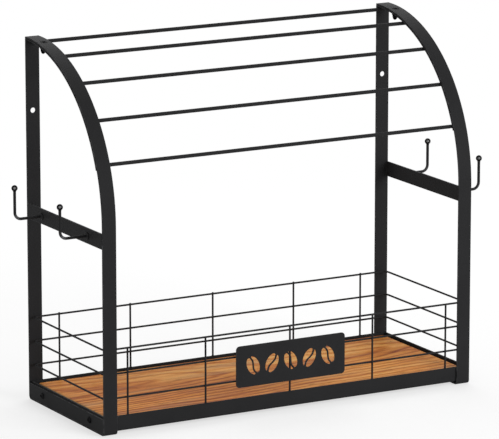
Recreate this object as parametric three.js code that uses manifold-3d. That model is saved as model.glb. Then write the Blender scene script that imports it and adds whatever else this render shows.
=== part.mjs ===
// Countertop coffee capsule holder. Two side frames of bent steel strip carry a curved rack of
// five round rails, a wood-floored tray with a wire fence and a sign plate, and four mug hooks.
// Millimetres: X runs across the front, Y from front to back, Z up from the floor.

import * as THREE from 'three';
import { mergeVertices } from 'three/addons/utils/BufferGeometryUtils.js';
import Module from 'manifold-3d';

// Overall size of the frame, without the hooks
const FRAME_WIDTH = 431.5;
const FRAME_DEPTH = 170;
const FRAME_HEIGHT = 381;

// Fits: the gap left where round or curved pieces are welded, and hole over shank diameter
const WELD_GAP = 0.3;
const HOLE_CLEARANCE = 0.8;
const CUT_PAST = 1; // how far a cutter runs past the faces that it opens

// Side frame strip, bent round the foot, up the post and over the arch
const STRIP_WIDTH = 15.5;
const STRIP_THICK = 1.6;
const ARCH_LEVEL = 0.4; // level run of the arch in front of the rear post
const FOOT_RADIUS = 4;
const FOOT_SEAM = 25; // weld in the floor run, measured from the back
const WALL_HOLE_DIAMETER = 5.5;
const WALL_HOLE_DROP = 76.9; // below the top of the frame

// Flat bars on edge: the mug bar and the bar along the floor
const BAR_HEIGHT = 16;
const BAR_THICK = 2;
const MUG_BAR_DROP = 4.9; // below the line where the arch springs from the post

// Mug hooks, a bent wire with a ball on its tip
const HOOK_WIRE = 3;
const HOOK_REACH = 30; // bar face to the middle of the stem
const HOOK_RISE = 32.5; // middle of the run to the middle of the ball
const HOOK_BEND = 7;
const HOOK_BALL = 6.4;
const HOOK_SPACING = 102.6;
const HOOK_COLLAR_DIAMETER = 8;
const HOOK_COLLAR_THICK = 1.2;

// Curved rack: ribs under the arches and round rails under the ribs
const RIB_THICK = 1.4;
const RIB_TAIL = 5; // rib past the lowest rail, along the curve
const RAIL_DIAMETER = 4;
const RAIL_COUNT = 5;
const RAIL_FIRST_ANGLE = 22; // degrees above the level of the arch centre
const RAIL_BACK_CLEARANCE = 2.9; // topmost rail to the rear post
const RAIL_LAP = 7; // rail end under its rib
const RACK_BOLT_FROM_BACK = 28;
const RACK_BOLT_SHANK = 4;
const RACK_BOLT_HEAD = 6.6;
const RACK_BOLT_HEAD_DEPTH = 1.2;
const RACK_BOLT_SOCKET = 2.6;
const RACK_BOLT_SOCKET_DEPTH = 0.9;
const RACK_NUT_WIDTH = 7.6; // across the corners
const RACK_NUT_HEX = 3.6;
const RACK_NUT_DOME_DIAMETER = 6;
const RACK_NUT_DOME_HEIGHT = 5.4;
const RACK_BOLT_BITE = 4.5; // thread inside the cap nut

// Tray: four rails round a wooden board
const TRAY_FIT = 0.2; // tray to post
const TRAY_LIFT = 1.6; // tray above the floor strips
const TRAY_RAIL_HEIGHT = 16.2;
const TRAY_RAIL_THICK = 1.6;
const TRAY_FLANGE = 12;
const BOARD_THICK = 12.7;
const BOARD_CLEARANCE = 0.9; // board to the tips of the tray bolts
const TRAY_BOLT_SPACING = 107;
const TRAY_BOLT_ABOVE_FLOOR = 10.2;
const TRAY_BOLT_SHANK = 4;
const TRAY_BOLT_HEAD = 7;
const TRAY_BOLT_HEAD_THICK = 1.8;
const TRAY_BOLT_SOCKET = 2.4;
const TRAY_BOLT_SOCKET_DEPTH = 1;
const TRAY_BOLT_TIP = 0.6; // past the nut
const TRAY_NUT_WIDTH = 7.6; // across the corners
const TRAY_NUT_THICK = 2.4;
const BOARD_SCREW_SPACING = 300;
const BOARD_SCREW_SHANK = 3;
const BOARD_SCREW_BITE = 7.5; // depth in the board
const BOARD_SCREW_HEAD = 6;
const BOARD_SCREW_HEAD_THICK = 1.2;

// Wire fence on the tray
const FENCE_WIRE = 2;
const FENCE_RING_NAMES = ['low', 'mid', 'top'];
const FENCE_FIRST_RING = 37; // above the floor
const FENCE_RING_PITCH = 25.3;
const FENCE_SIDE_INSET = 3.7; // ring wire inside the outer face of the frame
const FENCE_CORNER_RADIUS = 6;
const STAY_FRONT_INSET = 13; // outer stays inside the posts
const STAY_REAR_INSET = 19;
const STAY_INNER = 98.3; // inner stays from the middle

// Sign plate, with a row of bean shapes cut through it
const SIGN_WIDTH = 128;
const SIGN_HEIGHT = 43.6;
const SIGN_THICK = 1;
const SIGN_CORNER = 4;
const SIGN_MIDDLE = 52.3; // above the floor
const BEAN_COUNT = 5;
const BEAN_PITCH = 22;
const BEAN_LENGTH = 21;
const BEAN_WIDTH = 14;
const BEAN_TILT = 28; // degrees, turned the other way on every other bean
const BEAN_BRIDGE = 1.8; // metal left along the crease of a bean
const BEAN_CREASE = 1.5; // sideways swing of the crease

// Facets
const ARCH_STEPS = 36;
const FOOT_STEPS = 5;
const ROUND_SIDES = 16;
const RAIL_SIDES = 14;
const WIRE_SIDES = 10;
const HEX_SIDES = 6;
const DOME_STEPS = 6;
const HOOK_STEPS = 26;
const CORNER_STEPS = 5;
const BEAN_STEPS = 9;
const MERGE_DISTANCE = 1e-4;

// Planes that the pieces share
const HALF_WIDTH = FRAME_WIDTH / 2;
const HALF_DEPTH = FRAME_DEPTH / 2;
const STRIP_INNER_X = HALF_WIDTH - STRIP_WIDTH;
const STRIP_MIDDLE_X = HALF_WIDTH - STRIP_WIDTH / 2;
const POST_INNER_Y = HALF_DEPTH - STRIP_THICK;
const BAR_INNER_X = HALF_WIDTH - BAR_THICK;
const ARCH_RADIUS = FRAME_DEPTH - STRIP_THICK - ARCH_LEVEL;
const ARCH_Y = ARCH_RADIUS - HALF_DEPTH;
const ARCH_Z = FRAME_HEIGHT - ARCH_RADIUS;
const SEAM_Y = HALF_DEPTH - FOOT_SEAM;
const MUG_BAR_Z = ARCH_Z - MUG_BAR_DROP - BAR_HEIGHT / 2;
const RIB_OUTER = ARCH_RADIUS - STRIP_THICK - WELD_GAP;
const RIB_INNER = RIB_OUTER - RIB_THICK;
const RAIL_RADIUS = RIB_INNER - WELD_GAP - RAIL_DIAMETER / 2;
const TRAY_X = BAR_INNER_X;
const TRAY_INNER_X = TRAY_X - TRAY_RAIL_THICK;
const TRAY_Y = POST_INNER_Y - TRAY_FIT;
const TRAY_INNER_Y = TRAY_Y - TRAY_RAIL_THICK;
const TRAY_BOTTOM = STRIP_THICK + TRAY_LIFT;
const TRAY_TOP = TRAY_BOTTOM + TRAY_RAIL_HEIGHT;
const BOARD_BOTTOM = TRAY_BOTTOM + TRAY_RAIL_THICK;
const BOARD_GAP = TRAY_NUT_THICK + TRAY_BOLT_TIP + BOARD_CLEARANCE;
const BOARD_X = TRAY_INNER_X - BOARD_GAP;
const BOARD_Y = TRAY_INNER_Y - BOARD_GAP;
const BOARD_SCREW_Y = (BOARD_Y + TRAY_Y - TRAY_FLANGE) / 2;
const STAY_Y = TRAY_Y - TRAY_RAIL_THICK / 2;
const RING_X = HALF_WIDTH - FENCE_SIDE_INSET;
const RING_Y = STAY_Y - FENCE_WIRE - WELD_GAP;
const STAY_TOP = FENCE_FIRST_RING + FENCE_RING_PITCH * (FENCE_RING_NAMES.length - 1) + FENCE_WIRE / 2;
const SIGN_BACK_Y = -STAY_Y - FENCE_WIRE / 2 - WELD_GAP;

const LEFT = { name: 'left', sign: -1 };
const RIGHT = { name: 'right', sign: 1 };
const FRONT = { name: 'front', sign: -1 };
const REAR = { name: 'rear', sign: 1 };

const BLACK_COAT = { color: 0x2b2b2c, roughness: 0.55, metalness: 0.2 };
const DARK_STEEL = { color: 0x1f2022, roughness: 0.4, metalness: 0.7 };
const RUSTIC_WOOD = { color: 0xa5622f, roughness: 0.6, metalness: 0 };

const wasm = await Module();
wasm.setup();

function toSolid(geometry) {
  const bare = geometry.clone();
  bare.deleteAttribute('normal');
  bare.deleteAttribute('uv');
  const merged = mergeVertices(bare, MERGE_DISTANCE);
  const vertProperties = new Float32Array(merged.attributes.position.array);
  const triVerts = new Uint32Array(merged.index.array);
  return new wasm.Manifold(new wasm.Mesh({ numProp: 3, vertProperties, triVerts }));
}

function toGeometry(solid) {
  const { vertProperties, triVerts } = solid.getMesh();
  const geometry = new THREE.BufferGeometry();
  geometry.setAttribute('position', new THREE.BufferAttribute(vertProperties, 3));
  geometry.setIndex(new THREE.BufferAttribute(triVerts, 1));
  geometry.computeVertexNormals();
  return geometry;
}

function cut(geometry, tools) {
  return toGeometry(tools.reduce((solid, tool) => solid.subtract(toSolid(tool)), toSolid(geometry)));
}

function join(geometries) {
  return toGeometry(geometries.map(toSolid).reduce((solid, piece) => solid.add(piece)));
}

function makeMesh(name, geometry, finish) {
  const mesh = new THREE.Mesh(geometry, new THREE.MeshStandardMaterial(finish));
  mesh.name = name;
  return mesh;
}

function makeGroup(...children) {
  const group = new THREE.Group();
  group.add(...children);
  return group;
}

// A box given by its two corners
function boxBetween(low, high) {
  const size = high.map((value, axis) => value - low[axis]);
  const geometry = new THREE.BoxGeometry(...size);
  return geometry.translate(...low.map((value, axis) => value + size[axis] / 2));
}

// A cylinder along Z from its base, and the same laid along X or Y
function peg(diameter, length, sides = ROUND_SIDES) {
  const geometry = new THREE.CylinderGeometry(diameter / 2, diameter / 2, length, sides);
  return geometry.rotateX(Math.PI / 2).translate(0, 0, length / 2);
}

const pegAlongX = (diameter, length, sides) => peg(diameter, length, sides).rotateY(Math.PI / 2);
const pegAlongY = (diameter, length, sides) => peg(diameter, length, sides).rotateX(-Math.PI / 2);

// A turned piece along Z from [radius, height] points
function turned(points) {
  const profile = points.map(([radius, height]) => new THREE.Vector2(radius, height));
  return new THREE.LatheGeometry(profile, ROUND_SIDES).rotateX(Math.PI / 2);
}

// A quarter ellipse of [radius, height] points, from its rim at height 0 up to an angle
function domePoints(radius, height, toAngle) {
  return arc([0, 0], 1, 0, toAngle, DOME_STEPS).map(([u, v]) => [u * radius, v * height]);
}

function polygon(points) {
  return new THREE.Shape(points.map(([u, v]) => new THREE.Vector2(u, v)));
}

function arc(centre, radius, from, to, steps) {
  return Array.from({ length: steps + 1 }, (_, step) => {
    const angle = from + ((to - from) * step) / steps;
    return [centre[0] + radius * Math.cos(angle), centre[1] + radius * Math.sin(angle)];
  });
}

// Extrudes an outline drawn in the YZ plane along X, from x to x + length
function extrudeAlongX(shape, x, length) {
  const geometry = new THREE.ExtrudeGeometry(shape, { depth: length, bevelEnabled: false });
  const toWorld = new THREE.Matrix4().makeBasis(
    new THREE.Vector3(0, 1, 0),
    new THREE.Vector3(0, 0, 1),
    new THREE.Vector3(1, 0, 0),
  );
  return geometry.applyMatrix4(toWorld).translate(x, 0, 0);
}

const stripStart = (side) => (side.sign > 0 ? STRIP_INNER_X : -HALF_WIDTH);

// The arch, front post, front foot and floor run, bent from one strip
function archOutline() {
  const archCentre = [ARCH_Y, ARCH_Z];
  const footCentre = [FOOT_RADIUS - HALF_DEPTH, FOOT_RADIUS];
  return polygon([
    [HALF_DEPTH, FRAME_HEIGHT],
    ...arc(archCentre, ARCH_RADIUS, Math.PI / 2, Math.PI, ARCH_STEPS),
    ...arc(footCentre, FOOT_RADIUS, Math.PI, 1.5 * Math.PI, FOOT_STEPS),
    [SEAM_Y, 0],
    [SEAM_Y, STRIP_THICK],
    ...arc(footCentre, FOOT_RADIUS - STRIP_THICK, 1.5 * Math.PI, Math.PI, FOOT_STEPS),
    ...arc(archCentre, ARCH_RADIUS - STRIP_THICK, Math.PI, Math.PI / 2, ARCH_STEPS),
    [HALF_DEPTH, FRAME_HEIGHT - STRIP_THICK],
  ]);
}

// The rear post with its foot, from under the arch to the weld in the floor run
function rearPostOutline() {
  const footCentre = [HALF_DEPTH - FOOT_RADIUS, FOOT_RADIUS];
  return polygon([
    [HALF_DEPTH, FRAME_HEIGHT - STRIP_THICK],
    [POST_INNER_Y, FRAME_HEIGHT - STRIP_THICK],
    ...arc(footCentre, FOOT_RADIUS - STRIP_THICK, 0, -Math.PI / 2, FOOT_STEPS),
    [SEAM_Y, STRIP_THICK],
    [SEAM_Y, 0],
    ...arc(footCentre, FOOT_RADIUS, -Math.PI / 2, 0, FOOT_STEPS),
  ]);
}

// The bar along the floor, its lower corners cut to clear the foot bends
function sideBarOutline() {
  const corner = FOOT_RADIUS - STRIP_THICK + WELD_GAP;
  const low = STRIP_THICK;
  const high = STRIP_THICK + BAR_HEIGHT;
  return polygon([
    [-POST_INNER_Y, high],
    [-POST_INNER_Y, low + corner],
    [-POST_INNER_Y + corner, low],
    [POST_INNER_Y - corner, low],
    [POST_INNER_Y, low + corner],
    [POST_INNER_Y, high],
  ]);
}

// Places a piece drawn along Z on the rack bolt's line, with Z = 0 on the outer face of the arch
function onRackBoltLine(geometry, side) {
  const angle = Math.acos((ARCH_Y - (HALF_DEPTH - RACK_BOLT_FROM_BACK)) / ARCH_RADIUS);
  const y = ARCH_Y - ARCH_RADIUS * Math.cos(angle);
  const z = ARCH_Z + ARCH_RADIUS * Math.sin(angle);
  return geometry.rotateX(Math.PI / 2 - angle).translate(side.sign * STRIP_MIDDLE_X, y, z);
}

function rackBoltHole(side) {
  const bottom = RIB_INNER - ARCH_RADIUS - CUT_PAST;
  const shank = (RACK_BOLT_SHANK + HOLE_CLEARANCE) / 2;
  const head = (RACK_BOLT_HEAD + HOLE_CLEARANCE) / 2;
  const hole = turned([
    [0, bottom],
    [shank, bottom],
    [shank, -RACK_BOLT_HEAD_DEPTH - WELD_GAP],
    [head, -WELD_GAP],
    [head, CUT_PAST],
    [0, CUT_PAST],
  ]);
  return onRackBoltLine(hole, side);
}

function makeFrontArch(side) {
  const strip = extrudeAlongX(archOutline(), stripStart(side), STRIP_WIDTH);
  return makeMesh(`front_arch_${side.name}`, cut(strip, [rackBoltHole(side)]), BLACK_COAT);
}

function makeRearPost(side) {
  const strip = extrudeAlongX(rearPostOutline(), stripStart(side), STRIP_WIDTH);
  const hole = pegAlongY(WALL_HOLE_DIAMETER, STRIP_THICK + 2 * CUT_PAST);
  hole.translate(side.sign * STRIP_MIDDLE_X, POST_INNER_Y - CUT_PAST, FRAME_HEIGHT - WALL_HOLE_DROP);
  return makeMesh(`rear_post_${side.name}`, cut(strip, [hole]), BLACK_COAT);
}

const barStart = (side) => (side.sign > 0 ? BAR_INNER_X : -HALF_WIDTH);

function makeMugBar(side) {
  const x = barStart(side);
  const low = [x, -POST_INNER_Y, MUG_BAR_Z - BAR_HEIGHT / 2];
  const high = [x + BAR_THICK, POST_INNER_Y, MUG_BAR_Z + BAR_HEIGHT / 2];
  return makeMesh(`mug_bar_${side.name}`, boxBetween(low, high), BLACK_COAT);
}

// Holes along X through the floor bar and the tray rail beside it, one for each tray bolt
function trayBoltHoles(side) {
  const length = BAR_THICK + TRAY_RAIL_THICK + 2 * CUT_PAST;
  const start = side.sign > 0 ? TRAY_INNER_X - CUT_PAST : -HALF_WIDTH - CUT_PAST;
  return [FRONT, REAR].map((end) => {
    const hole = pegAlongX(TRAY_BOLT_SHANK + HOLE_CLEARANCE, length);
    return hole.translate(start, (end.sign * TRAY_BOLT_SPACING) / 2, TRAY_BOLT_ABOVE_FLOOR);
  });
}

function makeSideBar(side) {
  const bar = extrudeAlongX(sideBarOutline(), barStart(side), BAR_THICK);
  return makeMesh(`side_bar_${side.name}`, cut(bar, trayBoltHoles(side)), BLACK_COAT);
}

// A hook runs out from the mug bar, bends up and ends in a ball
function makeHook(side, end) {
  const out = (x, z) => new THREE.Vector3(side.sign * x, 0, z);
  const route = new THREE.CurvePath();
  route.add(new THREE.LineCurve3(out(0, 0), out(HOOK_REACH - HOOK_BEND, 0)));
  route.add(new THREE.QuadraticBezierCurve3(
    out(HOOK_REACH - HOOK_BEND, 0),
    out(HOOK_REACH, 0),
    out(HOOK_REACH, HOOK_BEND),
  ));
  route.add(new THREE.LineCurve3(out(HOOK_REACH, HOOK_BEND), out(HOOK_REACH, HOOK_RISE)));
  const section = new THREE.Shape().absarc(0, 0, HOOK_WIRE / 2, 0, 2 * Math.PI);
  const wire = new THREE.ExtrudeGeometry(section, {
    extrudePath: route,
    steps: HOOK_STEPS,
    curveSegments: WIRE_SIDES / 2,
  });
  const ball = new THREE.SphereGeometry(HOOK_BALL / 2, ROUND_SIDES, WIRE_SIDES);
  ball.translate(side.sign * HOOK_REACH, 0, HOOK_RISE);
  const collar = pegAlongX(HOOK_COLLAR_DIAMETER, HOOK_COLLAR_THICK);
  if (side.sign < 0) {
    collar.translate(-HOOK_COLLAR_THICK, 0, 0);
  }
  const hook = makeMesh(`hook_${side.name}_${end.name}`, join([wire, collar, ball]), BLACK_COAT);
  hook.position.set(side.sign * HALF_WIDTH, (end.sign * HOOK_SPACING) / 2, MUG_BAR_Z);
  return hook;
}

function makeSideFrame(side) {
  return makeGroup(
    makeFrontArch(side),
    makeRearPost(side),
    makeMugBar(side),
    makeSideBar(side),
    makeHook(side, FRONT),
    makeHook(side, REAR),
  );
}

// Angles of the rails up the curve, evenly spaced from the lowest to the one by the rear post
function railAngles() {
  const first = THREE.MathUtils.degToRad(RAIL_FIRST_ANGLE);
  const topY = POST_INNER_Y - RAIL_BACK_CLEARANCE - RAIL_DIAMETER / 2;
  const last = Math.acos((ARCH_Y - topY) / RAIL_RADIUS);
  const pitch = (last - first) / (RAIL_COUNT - 1);
  return Array.from({ length: RAIL_COUNT }, (_, index) => first + index * pitch);
}

function makeRib(side) {
  const tail = Math.PI - railAngles()[0] + RIB_TAIL / RAIL_RADIUS;
  const centre = [ARCH_Y, ARCH_Z];
  const outline = polygon([
    ...arc(centre, RIB_OUTER, Math.PI / 2, tail, ARCH_STEPS),
    ...arc(centre, RIB_INNER, tail, Math.PI / 2, ARCH_STEPS),
  ]);
  const rib = extrudeAlongX(outline, stripStart(side), STRIP_WIDTH);
  return makeMesh(`rack_rib_${side.name}`, cut(rib, [rackBoltHole(side)]), BLACK_COAT);
}

function makePodRail(angle, index) {
  const half = STRIP_INNER_X + RAIL_LAP;
  const rod = pegAlongX(RAIL_DIAMETER, 2 * half, RAIL_SIDES);
  const rail = makeMesh(`pod_rail_${index + 1}`, rod, BLACK_COAT);
  rail.position.set(-half, ARCH_Y - RAIL_RADIUS * Math.cos(angle), ARCH_Z + RAIL_RADIUS * Math.sin(angle));
  return rail;
}

// The bolt head sits flush in the arch and its shank ends inside the cap nut under the rib
function makeRackBolt(side) {
  const shank = RACK_BOLT_SHANK / 2;
  const socket = RACK_BOLT_SOCKET / 2;
  const tip = RIB_INNER - ARCH_RADIUS - WELD_GAP - RACK_BOLT_BITE;
  const bolt = turned([
    [0, tip],
    [shank, tip],
    [shank, -RACK_BOLT_HEAD_DEPTH],
    [RACK_BOLT_HEAD / 2, 0],
    [socket, 0],
    [socket, -RACK_BOLT_SOCKET_DEPTH],
    [0, -RACK_BOLT_SOCKET_DEPTH],
  ]);
  return makeMesh(`rack_bolt_${side.name}`, onRackBoltLine(bolt, side), DARK_STEEL);
}

function makeRackNut(side) {
  const top = RIB_INNER - ARCH_RADIUS - WELD_GAP;
  const hexBottom = top - RACK_NUT_HEX;
  const hex = peg(RACK_NUT_WIDTH, RACK_NUT_HEX, HEX_SIDES).translate(0, 0, hexBottom);
  const radius = RACK_NUT_DOME_DIAMETER / 2;
  const hanging = domePoints(radius, -RACK_NUT_DOME_HEIGHT, Math.PI / 2).reverse();
  const dome = turned([...hanging, [radius, RACK_NUT_HEX], [0, RACK_NUT_HEX]]).translate(0, 0, hexBottom);
  const depth = RACK_BOLT_BITE + WELD_GAP;
  const thread = peg(RACK_BOLT_SHANK + HOLE_CLEARANCE, depth + CUT_PAST).translate(0, 0, top - depth);
  const nut = cut(join([hex, dome]), [thread]);
  return makeMesh(`rack_nut_${side.name}`, onRackBoltLine(nut, side), DARK_STEEL);
}

function makePodRack() {
  const rails = railAngles().map(makePodRail);
  const sides = [LEFT, RIGHT].flatMap((side) => [makeRib(side), makeRackBolt(side), makeRackNut(side)]);
  return makeGroup(...rails, ...sides);
}

// Board screws stand on the flanges of the front and rear rails
function boardScrewPlaces(end) {
  return [LEFT, RIGHT].map((side) => ({
    side,
    x: (side.sign * BOARD_SCREW_SPACING) / 2,
    y: end.sign * BOARD_SCREW_Y,
  }));
}

// Front and rear rails are angles: a wall outside and a flange under the board
function makeLongRail(end) {
  const outline = [
    [TRAY_Y, TRAY_BOTTOM],
    [TRAY_Y, TRAY_TOP],
    [TRAY_INNER_Y, TRAY_TOP],
    [TRAY_INNER_Y, BOARD_BOTTOM],
    [TRAY_Y - TRAY_FLANGE, BOARD_BOTTOM],
    [TRAY_Y - TRAY_FLANGE, TRAY_BOTTOM],
  ];
  const shape = polygon(outline.map(([y, z]) => [end.sign * y, z]));
  const rail = extrudeAlongX(shape, -TRAY_INNER_X, 2 * TRAY_INNER_X);
  const holes = boardScrewPlaces(end).map(({ x, y }) => {
    const hole = peg(BOARD_SCREW_SHANK + HOLE_CLEARANCE, TRAY_RAIL_THICK + 2 * CUT_PAST);
    return hole.translate(x, y, TRAY_BOTTOM - CUT_PAST);
  });
  return makeMesh(`tray_rail_${end.name}`, cut(rail, holes), BLACK_COAT);
}

function makeShortRail(side) {
  const x = side.sign > 0 ? TRAY_INNER_X : -TRAY_X;
  const rail = boxBetween([x, -TRAY_Y, TRAY_BOTTOM], [x + TRAY_RAIL_THICK, TRAY_Y, TRAY_TOP]);
  return makeMesh(`tray_rail_${side.name}`, cut(rail, trayBoltHoles(side)), BLACK_COAT);
}

function makeBoard() {
  const top = BOARD_BOTTOM + BOARD_THICK;
  const board = boxBetween([-BOARD_X, -BOARD_Y, BOARD_BOTTOM], [BOARD_X, BOARD_Y, top]);
  const depth = BOARD_SCREW_BITE + WELD_GAP + CUT_PAST;
  const holes = [FRONT, REAR].flatMap(boardScrewPlaces).map(({ x, y }) => {
    const hole = peg(BOARD_SCREW_SHANK + HOLE_CLEARANCE, depth);
    return hole.translate(x, y, BOARD_BOTTOM - CUT_PAST);
  });
  return makeMesh('shelf_board', cut(board, holes), RUSTIC_WOOD);
}

function makeBoardScrew({ side, x, y }, end) {
  const shank = BOARD_SCREW_SHANK / 2;
  const head = BOARD_SCREW_HEAD / 2;
  const tip = TRAY_RAIL_THICK + BOARD_SCREW_BITE;
  const screw = turned([
    [0, -BOARD_SCREW_HEAD_THICK],
    [head, -BOARD_SCREW_HEAD_THICK],
    [head, 0],
    [shank, 0],
    [shank, tip - BOARD_SCREW_SHANK],
    [0, tip],
  ]);
  const mesh = makeMesh(`board_screw_${side.name}_${end.name}`, screw, DARK_STEEL);
  mesh.position.set(x, y, TRAY_BOTTOM);
  return mesh;
}

// Tray bolts point inwards along X, head outside the floor bar and nut inside the tray rail
function makeTrayBolt(side, end) {
  const shank = TRAY_BOLT_SHANK / 2;
  const head = TRAY_BOLT_HEAD / 2;
  const socket = TRAY_BOLT_SOCKET / 2;
  const tip = BAR_THICK + TRAY_RAIL_THICK + TRAY_NUT_THICK + TRAY_BOLT_TIP;
  const floor = TRAY_BOLT_HEAD_THICK - TRAY_BOLT_SOCKET_DEPTH;
  const bolt = turned([
    [0, -tip],
    [shank, -tip],
    [shank, 0],
    ...domePoints(head, TRAY_BOLT_HEAD_THICK, Math.acos(socket / head)),
    [socket, floor],
    [0, floor],
  ]).rotateY((side.sign * Math.PI) / 2);
  const mesh = makeMesh(`tray_bolt_${side.name}_${end.name}`, bolt, DARK_STEEL);
  mesh.position.set(side.sign * HALF_WIDTH, (end.sign * TRAY_BOLT_SPACING) / 2, TRAY_BOLT_ABOVE_FLOOR);
  return mesh;
}

function makeTrayNut(side, end) {
  const hex = pegAlongX(TRAY_NUT_WIDTH, TRAY_NUT_THICK, HEX_SIDES);
  const bore = pegAlongX(TRAY_BOLT_SHANK + HOLE_CLEARANCE, TRAY_NUT_THICK + 2 * CUT_PAST);
  bore.translate(-CUT_PAST, 0, 0);
  const mesh = makeMesh(`tray_nut_${side.name}_${end.name}`, cut(hex, [bore]), DARK_STEEL);
  const x = side.sign > 0 ? TRAY_INNER_X - TRAY_NUT_THICK : -TRAY_INNER_X;
  mesh.position.set(x, (end.sign * TRAY_BOLT_SPACING) / 2, TRAY_BOLT_ABOVE_FLOOR);
  return mesh;
}

// Middle line of a fence ring: places on a rounded rectangle with their outward normals
function ringRoute() {
  const route = [];
  for (let corner = 0; corner < 4; corner += 1) {
    const signX = corner === 0 || corner === 3 ? 1 : -1;
    const signY = corner < 2 ? 1 : -1;
    for (let step = 0; step <= CORNER_STEPS; step += 1) {
      const angle = ((corner + step / CORNER_STEPS) * Math.PI) / 2;
      const normal = new THREE.Vector2(Math.cos(angle), Math.sin(angle));
      const middle = new THREE.Vector2(
        signX * (RING_X - FENCE_CORNER_RADIUS),
        signY * (RING_Y - FENCE_CORNER_RADIUS),
      );
      route.push({ place: middle.addScaledVector(normal, FENCE_CORNER_RADIUS), normal });
    }
  }
  return route;
}

// A torus whose rim is led round the ring's route
function makeFenceRing(name, index) {
  const route = ringRoute();
  const ring = new THREE.TorusGeometry(1, FENCE_WIRE / 2, WIRE_SIDES, route.length);
  const position = ring.attributes.position;
  for (let vertex = 0; vertex < position.count; vertex += 1) {
    const { place, normal } = route[(vertex % (route.length + 1)) % route.length];
    const outward = Math.hypot(position.getX(vertex), position.getY(vertex)) - 1;
    position.setX(vertex, place.x + outward * normal.x);
    position.setY(vertex, place.y + outward * normal.y);
  }
  const mesh = makeMesh(`fence_ring_${name}`, ring, BLACK_COAT);
  mesh.position.z = FENCE_FIRST_RING + index * FENCE_RING_PITCH;
  return mesh;
}

// Stays stand on the rail and carry the rings on their inner side
function makeStays(end) {
  const outer = STRIP_INNER_X - (end.sign < 0 ? STAY_FRONT_INSET : STAY_REAR_INSET);
  const places = [-outer, -STAY_INNER, 0, STAY_INNER, outer];
  return places.map((x, index) => {
    const stay = peg(FENCE_WIRE, STAY_TOP - TRAY_TOP, WIRE_SIDES);
    const mesh = makeMesh(`fence_stay_${end.name}_${index + 1}`, stay, BLACK_COAT);
    mesh.position.set(x, end.sign * STAY_Y, TRAY_TOP);
    return mesh;
  });
}

// One half of a bean, on one side of its wavy crease, as a hole in the sign
function beanHalf(centreX, tilt, turn) {
  const half = BEAN_LENGTH / 2;
  const reach = half - BEAN_BRIDGE / 2;
  const steps = Array.from({ length: BEAN_STEPS + 1 }, (_, step) => step / BEAN_STEPS);
  const heights = steps.map((share) => reach * (1 - 2 * share));
  const rim = (v) => [(-BEAN_WIDTH / 2) * Math.sqrt(1 - (v / half) ** 2), v];
  const crease = (v) => [BEAN_CREASE * Math.sin((Math.PI * v) / half) - BEAN_BRIDGE / 2, v];
  const outline = [...heights.map(rim), ...heights.toReversed().map(crease)];
  const place = new THREE.Vector2(centreX, 0);
  const points = outline.map(([u, v]) => {
    const point = new THREE.Vector2(u, v).rotateAround(new THREE.Vector2(), tilt + turn);
    return point.add(place);
  });
  return new THREE.Path(points);
}

function makeSign() {
  const x = SIGN_WIDTH / 2 - SIGN_CORNER;
  const z = SIGN_HEIGHT / 2 - SIGN_CORNER;
  const corners = [[x, z], [-x, z], [-x, -z], [x, -z]];
  const shape = polygon(corners.flatMap((centre, corner) => {
    const from = (corner * Math.PI) / 2;
    return arc(centre, SIGN_CORNER, from, from + Math.PI / 2, CORNER_STEPS);
  }));
  for (let bean = 0; bean < BEAN_COUNT; bean += 1) {
    const centreX = (bean - (BEAN_COUNT - 1) / 2) * BEAN_PITCH;
    const tilt = THREE.MathUtils.degToRad(bean % 2 === 0 ? BEAN_TILT : -BEAN_TILT);
    shape.holes.push(beanHalf(centreX, tilt, 0), beanHalf(centreX, tilt, Math.PI));
  }
  const plate = new THREE.ExtrudeGeometry(shape, { depth: SIGN_THICK, bevelEnabled: false });
  const sign = makeMesh('sign_plate', plate.rotateX(Math.PI / 2), BLACK_COAT);
  sign.position.set(0, SIGN_BACK_Y, SIGN_MIDDLE);
  return sign;
}

function makeTray() {
  const corners = [LEFT, RIGHT].flatMap((side) => [FRONT, REAR].map((end) => ({ side, end })));
  return makeGroup(
    ...[FRONT, REAR].map(makeLongRail),
    ...[LEFT, RIGHT].map(makeShortRail),
    makeBoard(),
    ...[FRONT, REAR].flatMap((end) => boardScrewPlaces(end).map((place) => makeBoardScrew(place, end))),
    ...corners.map(({ side, end }) => makeTrayBolt(side, end)),
    ...corners.map(({ side, end }) => makeTrayNut(side, end)),
    ...FENCE_RING_NAMES.map(makeFenceRing),
    ...[FRONT, REAR].flatMap(makeStays),
    makeSign(),
  );
}

export default makeGroup(makeSideFrame(LEFT), makeSideFrame(RIGHT), makePodRack(), makeTray());
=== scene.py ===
# %% [markdown]
# # A countertop rack, finished in Blender
# The real thing is a small countertop stand: bent steel strip, round wire, a few bolts and one
# wooden board. The CAD frame holds every piece at its true size, so this lesson only has to make
# each one again as a fine mesh in the same place, with rounded edges, welds and a real finish.

# %% Load the frame
from collections import namedtuple
from math import acos, atan2, copysign, cos, pi, radians, sin, sqrt, tan

import bmesh
import bpy
from mathutils import Matrix, Vector


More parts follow.
